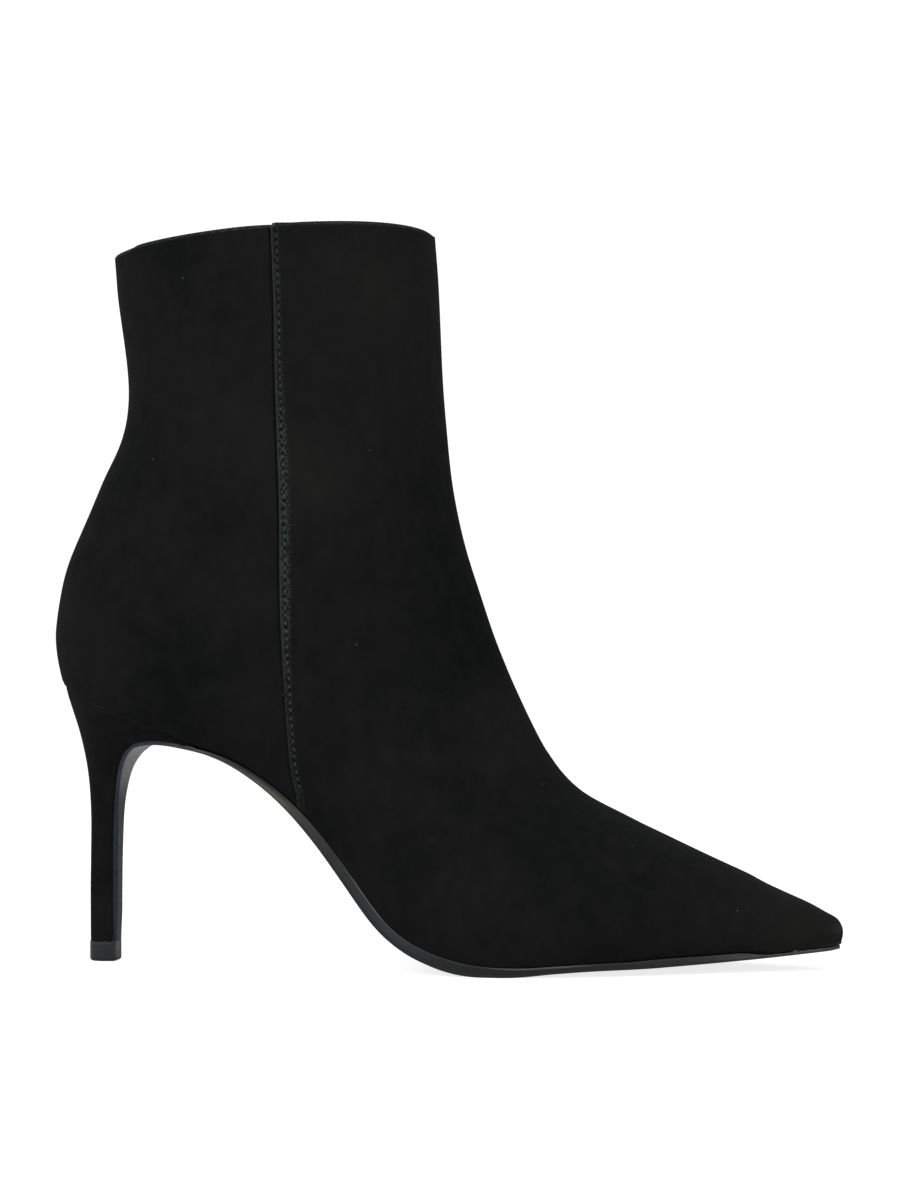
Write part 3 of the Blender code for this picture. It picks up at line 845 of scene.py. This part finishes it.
def mark_edges(piece, least=0.0):
    """Store how far each point of a piece belongs to its rounded upper and lower edges and to its side."""
    steepness = 3.0
    with OpenMesh(piece) as mesh:
        layers = mesh.verts.layers.float
        upper, lower, side = [layers.new(name + "_edge") for name in ("upper", "lower", "side")]
        for vert in mesh.verts:
            level = math.hypot(vert.normal.x, vert.normal.y)
            vert[upper] = max(0.0, min(1.0, steepness * (min(vert.normal.z, level) - least)))
            vert[lower] = max(0.0, min(1.0, steepness * (min(-vert.normal.z, level) - least)))
            vert[side] = level if vert.co.x > 0 else abs(vert.normal.y)


def mark_rims(piece):
    """Store how far each point lies below the topline, in millimetres, and how near the upper's foot."""
    far = 20.0
    with OpenMesh(piece) as mesh:
        below = mesh.verts.layers.float.new("below_topline")
        near = mesh.verts.layers.float.new("near_foot")
        rim = topline_tree(mesh)
        foot = foot_tree(mesh)
        for vert in mesh.verts:
            vert[below] = min(far, rim.find(vert.co)[2] / MM)
            vert[near] = fade(foot.find(vert.co)[2], 1.0)


def mark_depth(piece):
    """Store how far each point of the sole lies below its upper face, in millimetres."""
    with OpenMesh(piece) as mesh:
        depth = mesh.verts.layers.float.new("below_top")
        top = search_tree(mesh, lambda vert: vert.normal.z > 0.5)
        for vert in mesh.verts:
            vert[depth] = top.find(vert.co)[2] / MM


def brush_nap_and_light(piece):
    """Store how far the nap is raised at each point, and the painted light and shade of a few patches."""
    softness = 1.5
    layer = piece.data.attributes.new("nap_and_light", "FLOAT", "POINT")
    for vert, value in zip(piece.data.vertices, layer.data):
        for x, z, radius, tone in NAP_AND_LIGHT_PATCHES:
            apart = math.hypot(vert.co.x / MM - x, vert.co.z / MM - z) / radius
            value.value += tone * math.exp(-softness * apart * apart)


def line_inside(piece):
    """Give the inner face of the wall the lining's finish."""
    middle_of_shaft = Vector((-0.05, 0.0, 0.15))
    _, _, _, seen = piece.ray_cast(middle_of_shaft, Vector((0, -1, 0)))
    with EditMode():
        select_where(piece, "FACE", lambda face: face.index == seen)
        bpy.ops.mesh.faces_select_linked_flat(sharpness=math.radians(38))
        piece.active_material_index = LINED_SIDE
        bpy.ops.object.material_slot_assign()


def set_edges_of_upper(piece):
    """Crease the rims and the lap of the side seam, so that they keep their form when refined."""
    seam_reach = 2.5 * MM
    toe_tip = CAD_BOX[1].x - 4.0 * MM
    topline = CAD_BOX[1].z - 12.0 * MM
    sharp = math.radians(38)

    def on_seam(edge):
        return all(abs(seam_distance(vert.co)) < seam_reach for vert in edge.verts)

    def rims(edge):
        return abs(bend_angle(edge)) > sharp and not on_seam(edge) and middle(edge).x < toe_tip

    crease(piece, lambda edge: rims(edge) and middle(edge).z < topline, 1.0)
    crease(piece, lambda edge: rims(edge) and middle(edge).z >= topline, 0.5)
    crease(piece, lambda edge: on_seam(edge) and bend_angle(edge) < -sharp, 1.0)
    crease(piece, lambda edge: on_seam(edge) and bend_angle(edge) > sharp, 0.6)


def even_out(piece):
    """Smooth the suede away from its edges and seam."""
    seam_reach = 2.5 * MM
    group = piece.vertex_groups.new(name="panels")
    mesh = bmesh.new()
    mesh.from_mesh(piece.data)
    held = set()
    for edge in mesh.edges:
        if bends(edge, 25):
            held.update(vert.index for vert in edge.verts)
    for vert in mesh.verts:
        near_seam = abs(seam_distance(vert.co)) < seam_reach
        group.add([vert.index], 0.0 if near_seam or vert.index in held else 1.0, "REPLACE")
    mesh.free()
    apply_modifier(piece, "SMOOTH", factor=0.5, iterations=5, vertex_group="panels")
    piece.vertex_groups.clear()


def cut_along_seam(piece, wanted, ahead):
    """Cut the faces that a test accepts along a line in front of the seam."""
    start = Vector((boot_shape().seam_x, 0.0, boot_shape().seam_z))
    select_where(piece, "FACE", wanted)
    bpy.ops.mesh.bisect(plane_co=start + ahead, plane_no=seam_normal(), threshold=0.02 * MM)


def cut_behind_seam(piece):
    """Cut the topline just behind the front panel, so that the step there is sharp."""
    lowest = boot_shape().seam_z - 9.0 * MM

    def near_step(face):
        place = face.calc_center_median()
        return abs(seam_distance(place)) < 3.0 * MM and place.z > lowest

    cut_along_seam(piece, near_step, Vector((-0.15 * MM, 0.0, 0.0)))


def topline_fall(point):
    """How far the topline lies under the solid's. It steps at the seam and dips at the back of the leg."""
    shape = boot_shape()
    front_reach, rear_reach, cut = 9.0 * MM, 4.0 * MM, -0.05 * MM
    back_start, back_end = -0.0900, -0.0930
    ahead = seam_distance(point)
    if ahead > cut:
        share = 1.0 - 0.78 * math.exp(-max(ahead, 0.0) / front_reach)
    else:
        share = 0.54 + 0.5 * math.exp(ahead / rear_reach)
    return shape.topline_drop * share + shape.back_dip * rise(point.x, back_start, back_end)


def nap_share(vert, below):
    """How much of the nap stands out at a point. It is short at the topline, the seam and the leg."""
    shown = all(face.material_index == SUEDE_SIDE for face in vert.link_faces) and vert.normal.z > -0.6
    if not shown:
        return 0.0
    under_topline, beside_seam, leg = (2.0 * MM, 14.0 * MM), (1.5 * MM, 5.0 * MM), (0.11, 0.15)
    free = rise(below, *under_topline) * rise(abs(seam_distance(vert.co)), *beside_seam)
    return free * (1.0 - 0.6 * rise(vert.co.z, *leg))


def shape_suede(piece):
    """Set the toplines of the two panels and the line over the sole, and let the nap stand out."""
    nap = boot_shape().nap_height
    tuck_reach, topline_reach, feather_reach, lift_reach = 1.8, 8.0, 4.0, 8.0
    with OpenMesh(piece) as mesh:
        mesh.normal_update()
        rim = topline_tree(mesh)
        foot = foot_tree(mesh)
        moves = []
        for vert in mesh.verts:
            x = vert.co.x
            below = rim.find(vert.co)[2]
            over = foot.find(vert.co)[2]
            move = vert.normal * nap * nap_share(vert, below)
            move.x -= shift_at(x, TOE_TUCKS) * fade(over, tuck_reach)
            move.z -= topline_fall(vert.co) * fade(below, topline_reach)
            move.z += shift_at(x, FEATHER_SHIFTS) * fade(over, feather_reach)
            move.z += shift_at(x, SOLE_LIFTS) * fade(over, lift_reach)
            moves.append(move)
        for vert, move in zip(mesh.verts, moves):
            vert.co += move


def draw_out(piece, place, near, move, reach):
    """Draw the points near a place out into a soft round."""
    if not select_where(piece, "VERT", lambda vert: (vert.co - place).length < near):
        raise RuntimeError("no point of the upper is near the place that is drawn out")
    bpy.ops.transform.translate(value=move, **soft_reach(reach))


def round_ends(piece):
    """Round the tip of the toe and the back of the heel."""
    shape = boot_shape()
    toe = max((vert.co for vert in piece.data.vertices), key=lambda place: place.x).copy()
    over_sole, swell_height = 3.5 * MM, 0.111
    toe.z += over_sole
    back = Vector((CAD_BOX[0].x, 0.0, swell_height))
    with EditMode():
        draw_out(piece, toe, 2.0 * MM, (shape.toe_round, 0, 0), 5.0 * MM)
        draw_out(piece, back, 4.0 * MM, (-shape.counter_swell, 0, 0), 16.0 * MM)


def press_folds(piece):
    """Press the soft folds into the outer face of the suede."""
    line_width = 0.9 * MM
    for x, z, turn, half_length, width, depth in FOLDS:
        along = Vector((math.cos(math.radians(turn)), 0.0, math.sin(math.radians(turn))))
        across = Vector((-along.z, 0.0, along.x))
        centre = Vector((x, 0.0, z)) * MM

        def on_fold(vert):
            offset = vert.co - centre
            on_line = abs(offset.dot(across)) <= line_width and abs(offset.dot(along)) <= half_length * MM
            return on_line and vert.normal.y * vert.co.y > 0

        if select_where(piece, "VERT", on_fold):
            bpy.ops.transform.shrink_fatten(value=-depth * MM, **soft_reach(width * MM))


def sew_groove(piece):
    """Cut lines along the side seam and draw in the one under the stitches."""
    shape = boot_shape()

    def near_seam(face):
        place = face.calc_center_median()
        return -4 * MM < seam_distance(place) < 7 * MM and face.normal.y * place.y > 0

    def in_groove(vert):
        off = abs(seam_distance(vert.co) - shape.stitch_margin)
        return off < 0.05 * MM and vert.normal.y * vert.co.y > 0 and vert.co.z < shape.seam_z

    for share in (0.5, 0.8, 1.0, 1.2, 1.6):
        cut_along_seam(piece, near_seam, seam_normal() * shape.stitch_margin * share)
    select_where(piece, "VERT", in_groove)
    bpy.ops.transform.shrink_fatten(value=-shape.groove_depth)


def bow_seams(piece):
    """Bend the side seams off their straight line, and the panels near them with them."""
    whole, none = 4.0 * MM, 18.0 * MM
    for vert in piece.data.vertices:
        near = 1.0 - rise(abs(seam_distance(vert.co)), whole, none)
        vert.co.x += near * seam_bow(vert.co.z)


class BOOT_OT_upper(bpy.types.Operator):
    """Suede upper with its lapped side seams, folded topline and lining"""

    bl_idname = "boot.upper"
    bl_label = "Suede upper"

    def execute(self, context):
        piece = copy_of_solid("upper", "suede_upper")
        piece.data.materials.append(suede_material())
        piece.data.materials.append(self.lining(tuple(context.scene.boot_finish.lining)))
        line_inside(piece)
        with EditMode():
            set_edges_of_upper(piece)
        refine(piece, 2)
        even_out(piece)
        with EditMode():
            cut_behind_seam(piece)
        shape_suede(piece)
        round_ends(piece)
        with EditMode():
            press_folds(piece)
            sew_groove(piece)
        bow_seams(piece)
        mark_rims(piece)
        brush_nap_and_light(piece)
        smooth_shade(50)
        finish_piece(piece, None, "suede", "upper")
        return {"FINISHED"}

    def lining(self, colour):
        """Lining leather under the folded topline."""
        roughness, grain_scale, grain_depth, rub, folded = 0.55, 900.0, 0.12 * MM, 0.0, True
        details = (colour, roughness, grain_scale, grain_depth, rub, folded)
        return finish_named("Lining leather", paint_leather, *details)


class BOOT_OT_stitches(bpy.types.Operator):
    """Stitches of the side seams"""

    bl_idname = "boot.stitches"
    bl_label = "Seam stitches"

    def execute(self, context):
        shape = context.scene.boot_shape
        upper = bpy.data.objects["suede_upper"]
        rows = [self.row(upper, shape, side) for side in (OUTER, INNER)]
        make_active(rows[0])
        rows[1].select_set(True)
        bpy.ops.object.join()
        piece = bpy.context.view_layer.objects.active
        piece.name = "seam_stitches"
        bpy.ops.object.shade_smooth()
        finish_piece(piece, None, "suede")
        return {"FINISHED"}

    def row(self, upper, shape, side):
        """One row of stitches laid on the upper along its seam."""
        path = self.path(upper, shape, side)
        stitch = self.stitch(shape)
        points = [point.co for point in path.data.splines[0].points]
        run = sum((after - before).length for before, after in zip(points, points[1:]))
        apply_modifier(
            stitch,
            "ARRAY",
            count=int((run - 2 * MM) / shape.stitch_pitch),
            use_relative_offset=False,
            use_constant_offset=True,
            constant_offset_displace=(shape.stitch_pitch, 0, 0),
        )
        apply_modifier(stitch, "CURVE", object=path, deform_axis="POS_X")
        bpy.data.objects.remove(path, do_unlink=True)
        return stitch

    def stitch(self, shape):
        """One stitch and the needle hole behind it, at the start of the row."""
        start, lean, sunk = 1.5 * MM, math.radians(9), 0.05 * MM
        deselect_all()
        bpy.ops.mesh.primitive_uv_sphere_add(segments=10, ring_count=8, radius=0.5)
        stitch = bpy.context.view_layer.objects.active
        stitch.data.materials.append(finish_named("Sewing thread", paint_thread))
        # The needle hole is a dark piece that paints the shade in the hole.
        stitch.data.materials.append(finish_named("Needle hole", paint_hole_shade))
        with EditMode():
            bpy.ops.mesh.select_all(action="SELECT")
            bpy.ops.transform.resize(value=(shape.stitch_length, shape.thread_width, shape.thread_width))
            bpy.ops.transform.rotate(value=lean, orient_axis="Z", center_override=(0, 0, 0))
            bpy.ops.transform.translate(value=(shape.stitch_length / 2 + start, 0, 0))
            bpy.ops.mesh.select_all(action="DESELECT")
            bpy.ops.mesh.primitive_uv_sphere_add(segments=10, ring_count=6, radius=shape.hole_width / 2)
            stitch.active_material_index = HOLE_SLOT
            bpy.ops.object.material_slot_assign()
            gap = (shape.stitch_pitch - shape.stitch_length) / 2
            bpy.ops.transform.translate(value=(start - gap, 0, -sunk))
        return stitch

    def path(self, upper, shape, side):
        """Curve down the seam, a little above the groove of the stitches."""
        clear_of_boot = 0.08
        lift = shape.thread_width * 0.22
        places = []
        z = shape.seam_z - 0.5 * MM
        while z > shape.seam_foot:
            straight = shape.seam_x + shape.seam_slope * (shape.seam_z - z)
            start = Vector((straight + shape.stitch_margin + seam_bow(z), side * clear_of_boot, z))
            hit, place, normal, _ = upper.ray_cast(start, Vector((0, -side, 0)))
            if hit:
                places.append(place + normal * lift)
            z -= 2 * MM
        curve = bpy.data.curves.new("stitch_path", "CURVE")
        curve.dimensions = "3D"
        spline = curve.splines.new("POLY")
        spline.points.add(len(places) - 1)
        for point, place in zip(spline.points, places):
            point.co = (*place, 1.0)
        path = bpy.data.objects.new("stitch_path", curve)
        bpy.context.scene.collection.objects.link(path)
        return path


class BOOT_OT_outsole(bpy.types.Operator):
    """Thin painted leather outsole with its heel flap"""

    bl_idname = "boot.outsole"
    bl_label = "Outsole"
    sharp_degrees = 20

    def execute(self, context):
        shape = context.scene.boot_shape
        piece = copy_of_solid("outsole", "leather_outsole", 0.1 * MM)
        refine_with_edges(piece, self.sharp_degrees, 1.0)
        self.seat(piece, shape)
        with EditMode():
            select_where(piece, "EDGE", self.sharp)
            bpy.ops.transform.edge_bevelweight(value=1.0)
            select_where(piece, "EDGE", self.under_upper)
            bpy.ops.transform.edge_bevelweight(value=-0.7)
        apply_modifier(
            piece,
            "BEVEL",
            width=shape.edge_round,
            segments=3,
            limit_method="WEIGHT",
            use_clamp_overlap=False,
        )
        smooth_shade(40)
        mark_edges(piece, 0.2)
        mark_depth(piece)
        finish_piece(piece, finish_named("Painted sole leather", paint_sole), "sole_leather", "outsole")
        return {"FINISHED"}

    def sharp(self, edge):
        return bends(edge, self.sharp_degrees)

    def under_upper(self, edge):
        """Whether an edge lies close under the suede, where it is hardly rounded."""
        end_of_heel = -0.068
        upward = max(face.normal.z for face in edge.link_faces)
        return self.sharp(edge) and upward > 0.5 and middle(edge).x > end_of_heel

    def seat(self, piece, shape):
        """Lay the flap and the rear of the sole into the heel, and the front against the upper."""
        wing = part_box("heel")[1].x
        front_of_stem = -0.075
        flap_foot, flap_top = (0.006, 0.016), (0.052, 0.036)
        with EditMode():
            select_where(piece, "FACE", lambda face: self.at_heel(face, wing))
            bpy.ops.transform.shrink_fatten(value=shape.flap_seat)
        for vert in piece.data.vertices:
            vert.co.x -= shift_at(vert.co.x, TOE_TUCKS)
            vert.co.z += shift_at(vert.co.x, SOLE_LIFTS)
            if vert.normal.z > 0.3:
                vert.co.z += shift_at(vert.co.x, FEATHER_SHIFTS)
            elif vert.normal.x > 0.5 and vert.co.x < front_of_stem:
                vert.co.x += shape.flap_front * rise(vert.co.z, *flap_foot) * rise(vert.co.z, *flap_top)

    def at_heel(self, face, wing):
        """Whether a face of the sole looks at the heel."""
        return face.normal.x - face.normal.z < -0.7 and face.calc_center_median().x < wing


class BOOT_OT_heel(bpy.types.Operator):
    """Stiletto heel covered with suede"""

    bl_idname = "boot.heel"
    bl_label = "Covered heel"

    def execute(self, context):
        shape = context.scene.boot_shape
        over_top_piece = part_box("top_piece")[1].z + 2.0 * MM
        piece = copy_of_solid("heel", "suede_heel")
        refine_with_edges(piece, 38, 0.95, 2, 0.25 * MM)
        with EditMode():
            select_where(piece, "FACE", lambda face: face.normal.z > 0.5)
            bpy.ops.transform.translate(value=(0, 0, shape.heel_seat))
            select_where(piece, "FACE", lambda face: self.on_breast(face, over_top_piece))
            bpy.ops.transform.shrink_fatten(value=shape.breast_seat)
        self.drop_wing(piece, shape.wing_drop)
        self.cover(piece, shape.heel_cover)
        smooth_shade(45)
        mark_edges(piece, 0.35)
        brush_nap_and_light(piece)
        finish_piece(piece, suede_material(), "suede", "heel")
        return {"FINISHED"}

    def on_breast(self, face, lowest):
        """Whether a face looks at the heel flap."""
        return face.normal.x - face.normal.z > 0.7 and face.calc_center_median().z > lowest

    def drop_wing(self, piece, drop):
        """Let the underside of the wing's tip sink on to the sole."""
        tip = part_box("heel")[1].x
        for vert in piece.data.vertices:
            if vert.normal.z < 0.2:
                vert.co.z -= drop * fade(tip - vert.co.x, 5.0)

    def cover(self, piece, thickness):
        """Let the covering stand out round the slim foot of the heel, away from the flap."""
        slim_top, wide_foot = 0.030, 0.065
        for vert in piece.data.vertices:
            if abs(vert.normal.z) < 0.8:
                share = 1.0 - 0.75 * rise(vert.co.z, slim_top, wide_foot)
                vert.co.x += thickness * share * min(0.0, vert.normal.x)
                vert.co.y += thickness * share * vert.normal.y


class BOOT_OT_top_piece(bpy.types.Operator):
    """Hard wearing piece under the heel"""

    bl_idname = "boot.top_piece"
    bl_label = "Top piece"

    def execute(self, context):
        # The rub is the strength of the painted highlight on the piece's upper edge.
        roughness, grain_scale, grain_depth, rub = 0.34, 2200.0, 0.02 * MM, 0.15
        details = (tuple(context.scene.boot_finish.top_piece), roughness, grain_scale, grain_depth, rub)
        piece = copy_of_solid("top_piece", "rubber_top_piece")
        refine_with_edges(piece, 25, 0.9)
        self.widen(piece, context.scene.boot_shape)
        smooth_shade(35)
        mark_edges(piece)
        rubber = finish_named("Hard heel rubber", paint_leather, *details)
        finish_piece(piece, rubber, "heel_rubber", "top_piece")
        return {"FINISHED"}

    def widen(self, piece, shape):
        """Let the piece follow the covering of the heel above it, and reach up round it."""
        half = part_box("top_piece")[1].z / 2
        step = 0.8 * shape.heel_cover
        for vert in piece.data.vertices:
            if abs(vert.normal.z) < 0.9:
                vert.co.x += step * min(0.0, vert.normal.x)
                vert.co.y += step * vert.normal.y
            if vert.co.z > half:
                vert.co.z += shape.top_piece_rise


class BOOT_OT_insole(bpy.types.Operator):
    """Insole covered with a leather sock"""

    bl_idname = "boot.insole"
    bl_label = "Insole"

    def execute(self, context):
        roughness, grain_scale, grain_depth = 0.5, 800.0, 0.1 * MM
        details = (tuple(context.scene.boot_finish.lining), roughness, grain_scale, grain_depth)
        limit = math.radians(35)
        piece = copy_of_solid("insole", "leather_insole")
        refine_with_edges(piece, 30, 1.0)
        apply_modifier(piece, "BEVEL", width=0.5 * MM, segments=3, limit_method="ANGLE", angle_limit=limit)
        smooth_shade(40)
        leather = finish_named("Sock leather", paint_leather, *details)
        finish_piece(piece, leather, "insole_leather", "insole")
        return {"FINISHED"}


class BOOT_OT_stage(bpy.types.Operator):
    """Floor, light and camera"""

    bl_idname = "boot.stage"
    bl_label = "Stage"

    def execute(self, context):
        stage = context.scene.boot_stage
        target = Vector(stage.target)
        self.floor(stage)
        self.world(context.scene, stage)
        for name, offset, size, share in LIGHTS:
            self.softbox(name, target + Vector(offset), target, size, share * stage.key_power)
        self.camera(context.scene, stage, target)
        context.scene.view_settings.view_transform = "Standard"
        deselect_all()
        return {"FINISHED"}

    def floor(self, stage):
        """Pale floor that curves up into a backdrop."""
        half = stage.floor_size / 2
        back = half - 0.01
        deselect_all()
        bpy.ops.mesh.primitive_plane_add(size=stage.floor_size)
        floor = bpy.context.view_layer.objects.active
        floor.name = "pale_floor"

        def at_back(edge):
            return all(vert.co.y > back for vert in edge.verts)

        def in_corner(edge):
            return at_back(edge) and all(vert.co.z < 0.01 for vert in edge.verts)

        with EditMode():
            select_where(floor, "EDGE", at_back)
            bpy.ops.mesh.extrude_region_move(TRANSFORM_OT_translate={"value": (0, 0, half)})
            select_where(floor, "EDGE", in_corner)
            bpy.ops.mesh.bevel(offset=half / 3, segments=16, affect="EDGES")
            bpy.ops.mesh.select_all(action="SELECT")
            bpy.ops.mesh.normals_make_consistent(inside=False)
        bpy.ops.object.shade_smooth()
        material = bpy.data.materials.new("Pale floor")
        tree, shader = new_tree(material)
        seen = tree.nodes.new("ShaderNodeLightPath").outputs["Is Camera Ray"]
        inputs = {
            "Base Color": (0.72, 0.72, 0.72, 1.0),
            "Roughness": 0.9,
            "Specular IOR Level": 0.0,
            "Emission Color": (1.0, 1.0, 1.0, 1.0),
            "Emission Strength": times(tree, seen, 0.8),
        }
        set_inputs(tree, shader, inputs)
        floor.data.materials.append(material)

    def world(self, scene, stage):
        """White surroundings that light the boot less than they show."""
        world = bpy.data.worlds.new("Studio")
        world.use_nodes = True
        tree = world.node_tree
        seen = tree.nodes.new("ShaderNodeLightPath").outputs["Is Camera Ray"]
        strength = ramp(tree, seen, 0.0, 1.0, stage.daylight, 1.0)
        set_inputs(tree, tree.nodes["Background"], {"Color": (1.0, 1.0, 1.0, 1.0), "Strength": strength})
        scene.world = world

    def softbox(self, name, place, target, size, power):
        light = bpy.data.lights.new(name, "AREA")
        light.shape = "DISK"
        light.size = size
        light.energy = power
        lamp = bpy.data.objects.new(name, light)
        lamp.location = place
        lamp.rotation_euler = (target - place).to_track_quat("-Z", "Y").to_euler()
        bpy.context.scene.collection.objects.link(lamp)

    def camera(self, scene, stage, target):
        lens = bpy.data.cameras.new("photo_camera")
        lens.sensor_fit = "VERTICAL"
        lens.sensor_height = stage.frame_height
        lens.lens = stage.lens
        lens.clip_start = 0.01
        camera = bpy.data.objects.new("photo_camera", lens)
        back = Vector((math.sin(stage.azimuth), -math.cos(stage.azimuth), 0.0))
        camera.location = target + back * stage.distance
        camera.rotation_euler = (math.radians(90), 0.0, stage.azimuth)
        scene.collection.objects.link(camera)
        scene.camera = camera


class BOOT_PT_sidebar(bpy.types.Panel):
    """Buttons and sizes of the boot"""

    bl_idname = "BOOT_PT_sidebar"
    bl_label = "Ankle boot"
    bl_space_type = "VIEW_3D"
    bl_region_type = "UI"
    bl_category = "Boot"

    def draw(self, context):
        for maker in OPERATORS:
            self.layout.operator(maker.bl_idname)
        for group in (context.scene.boot_shape, context.scene.boot_finish, context.scene.boot_stage):
            box = self.layout.box()
            for name in group.__annotations__:
                box.prop(group, name)


OPERATORS = (
    BOOT_OT_upper,
    BOOT_OT_stitches,
    BOOT_OT_outsole,
    BOOT_OT_heel,
    BOOT_OT_top_piece,
    BOOT_OT_insole,
    BOOT_OT_stage,
)
CLASSES = (BootShape, BootFinish, BootStage, *OPERATORS, BOOT_PT_sidebar)


def register():
    for item in CLASSES:
        bpy.utils.register_class(item)
    bpy.types.Scene.boot_shape = PointerProperty(type=BootShape)
    bpy.types.Scene.boot_finish = PointerProperty(type=BootFinish)
    bpy.types.Scene.boot_stage = PointerProperty(type=BootStage)


def unregister():
    del bpy.types.Scene.boot_stage
    del bpy.types.Scene.boot_finish
    del bpy.types.Scene.boot_shape
    for item in reversed(CLASSES):
        bpy.utils.unregister_class(item)


def main():
    register()
    bpy.ops.boot.upper()
    bpy.ops.boot.stitches()
    bpy.ops.boot.outsole()
    bpy.ops.boot.heel()
    bpy.ops.boot.top_piece()
    bpy.ops.boot.insole()
    bpy.ops.boot.stage()


if __name__ == "__main__":
    main()
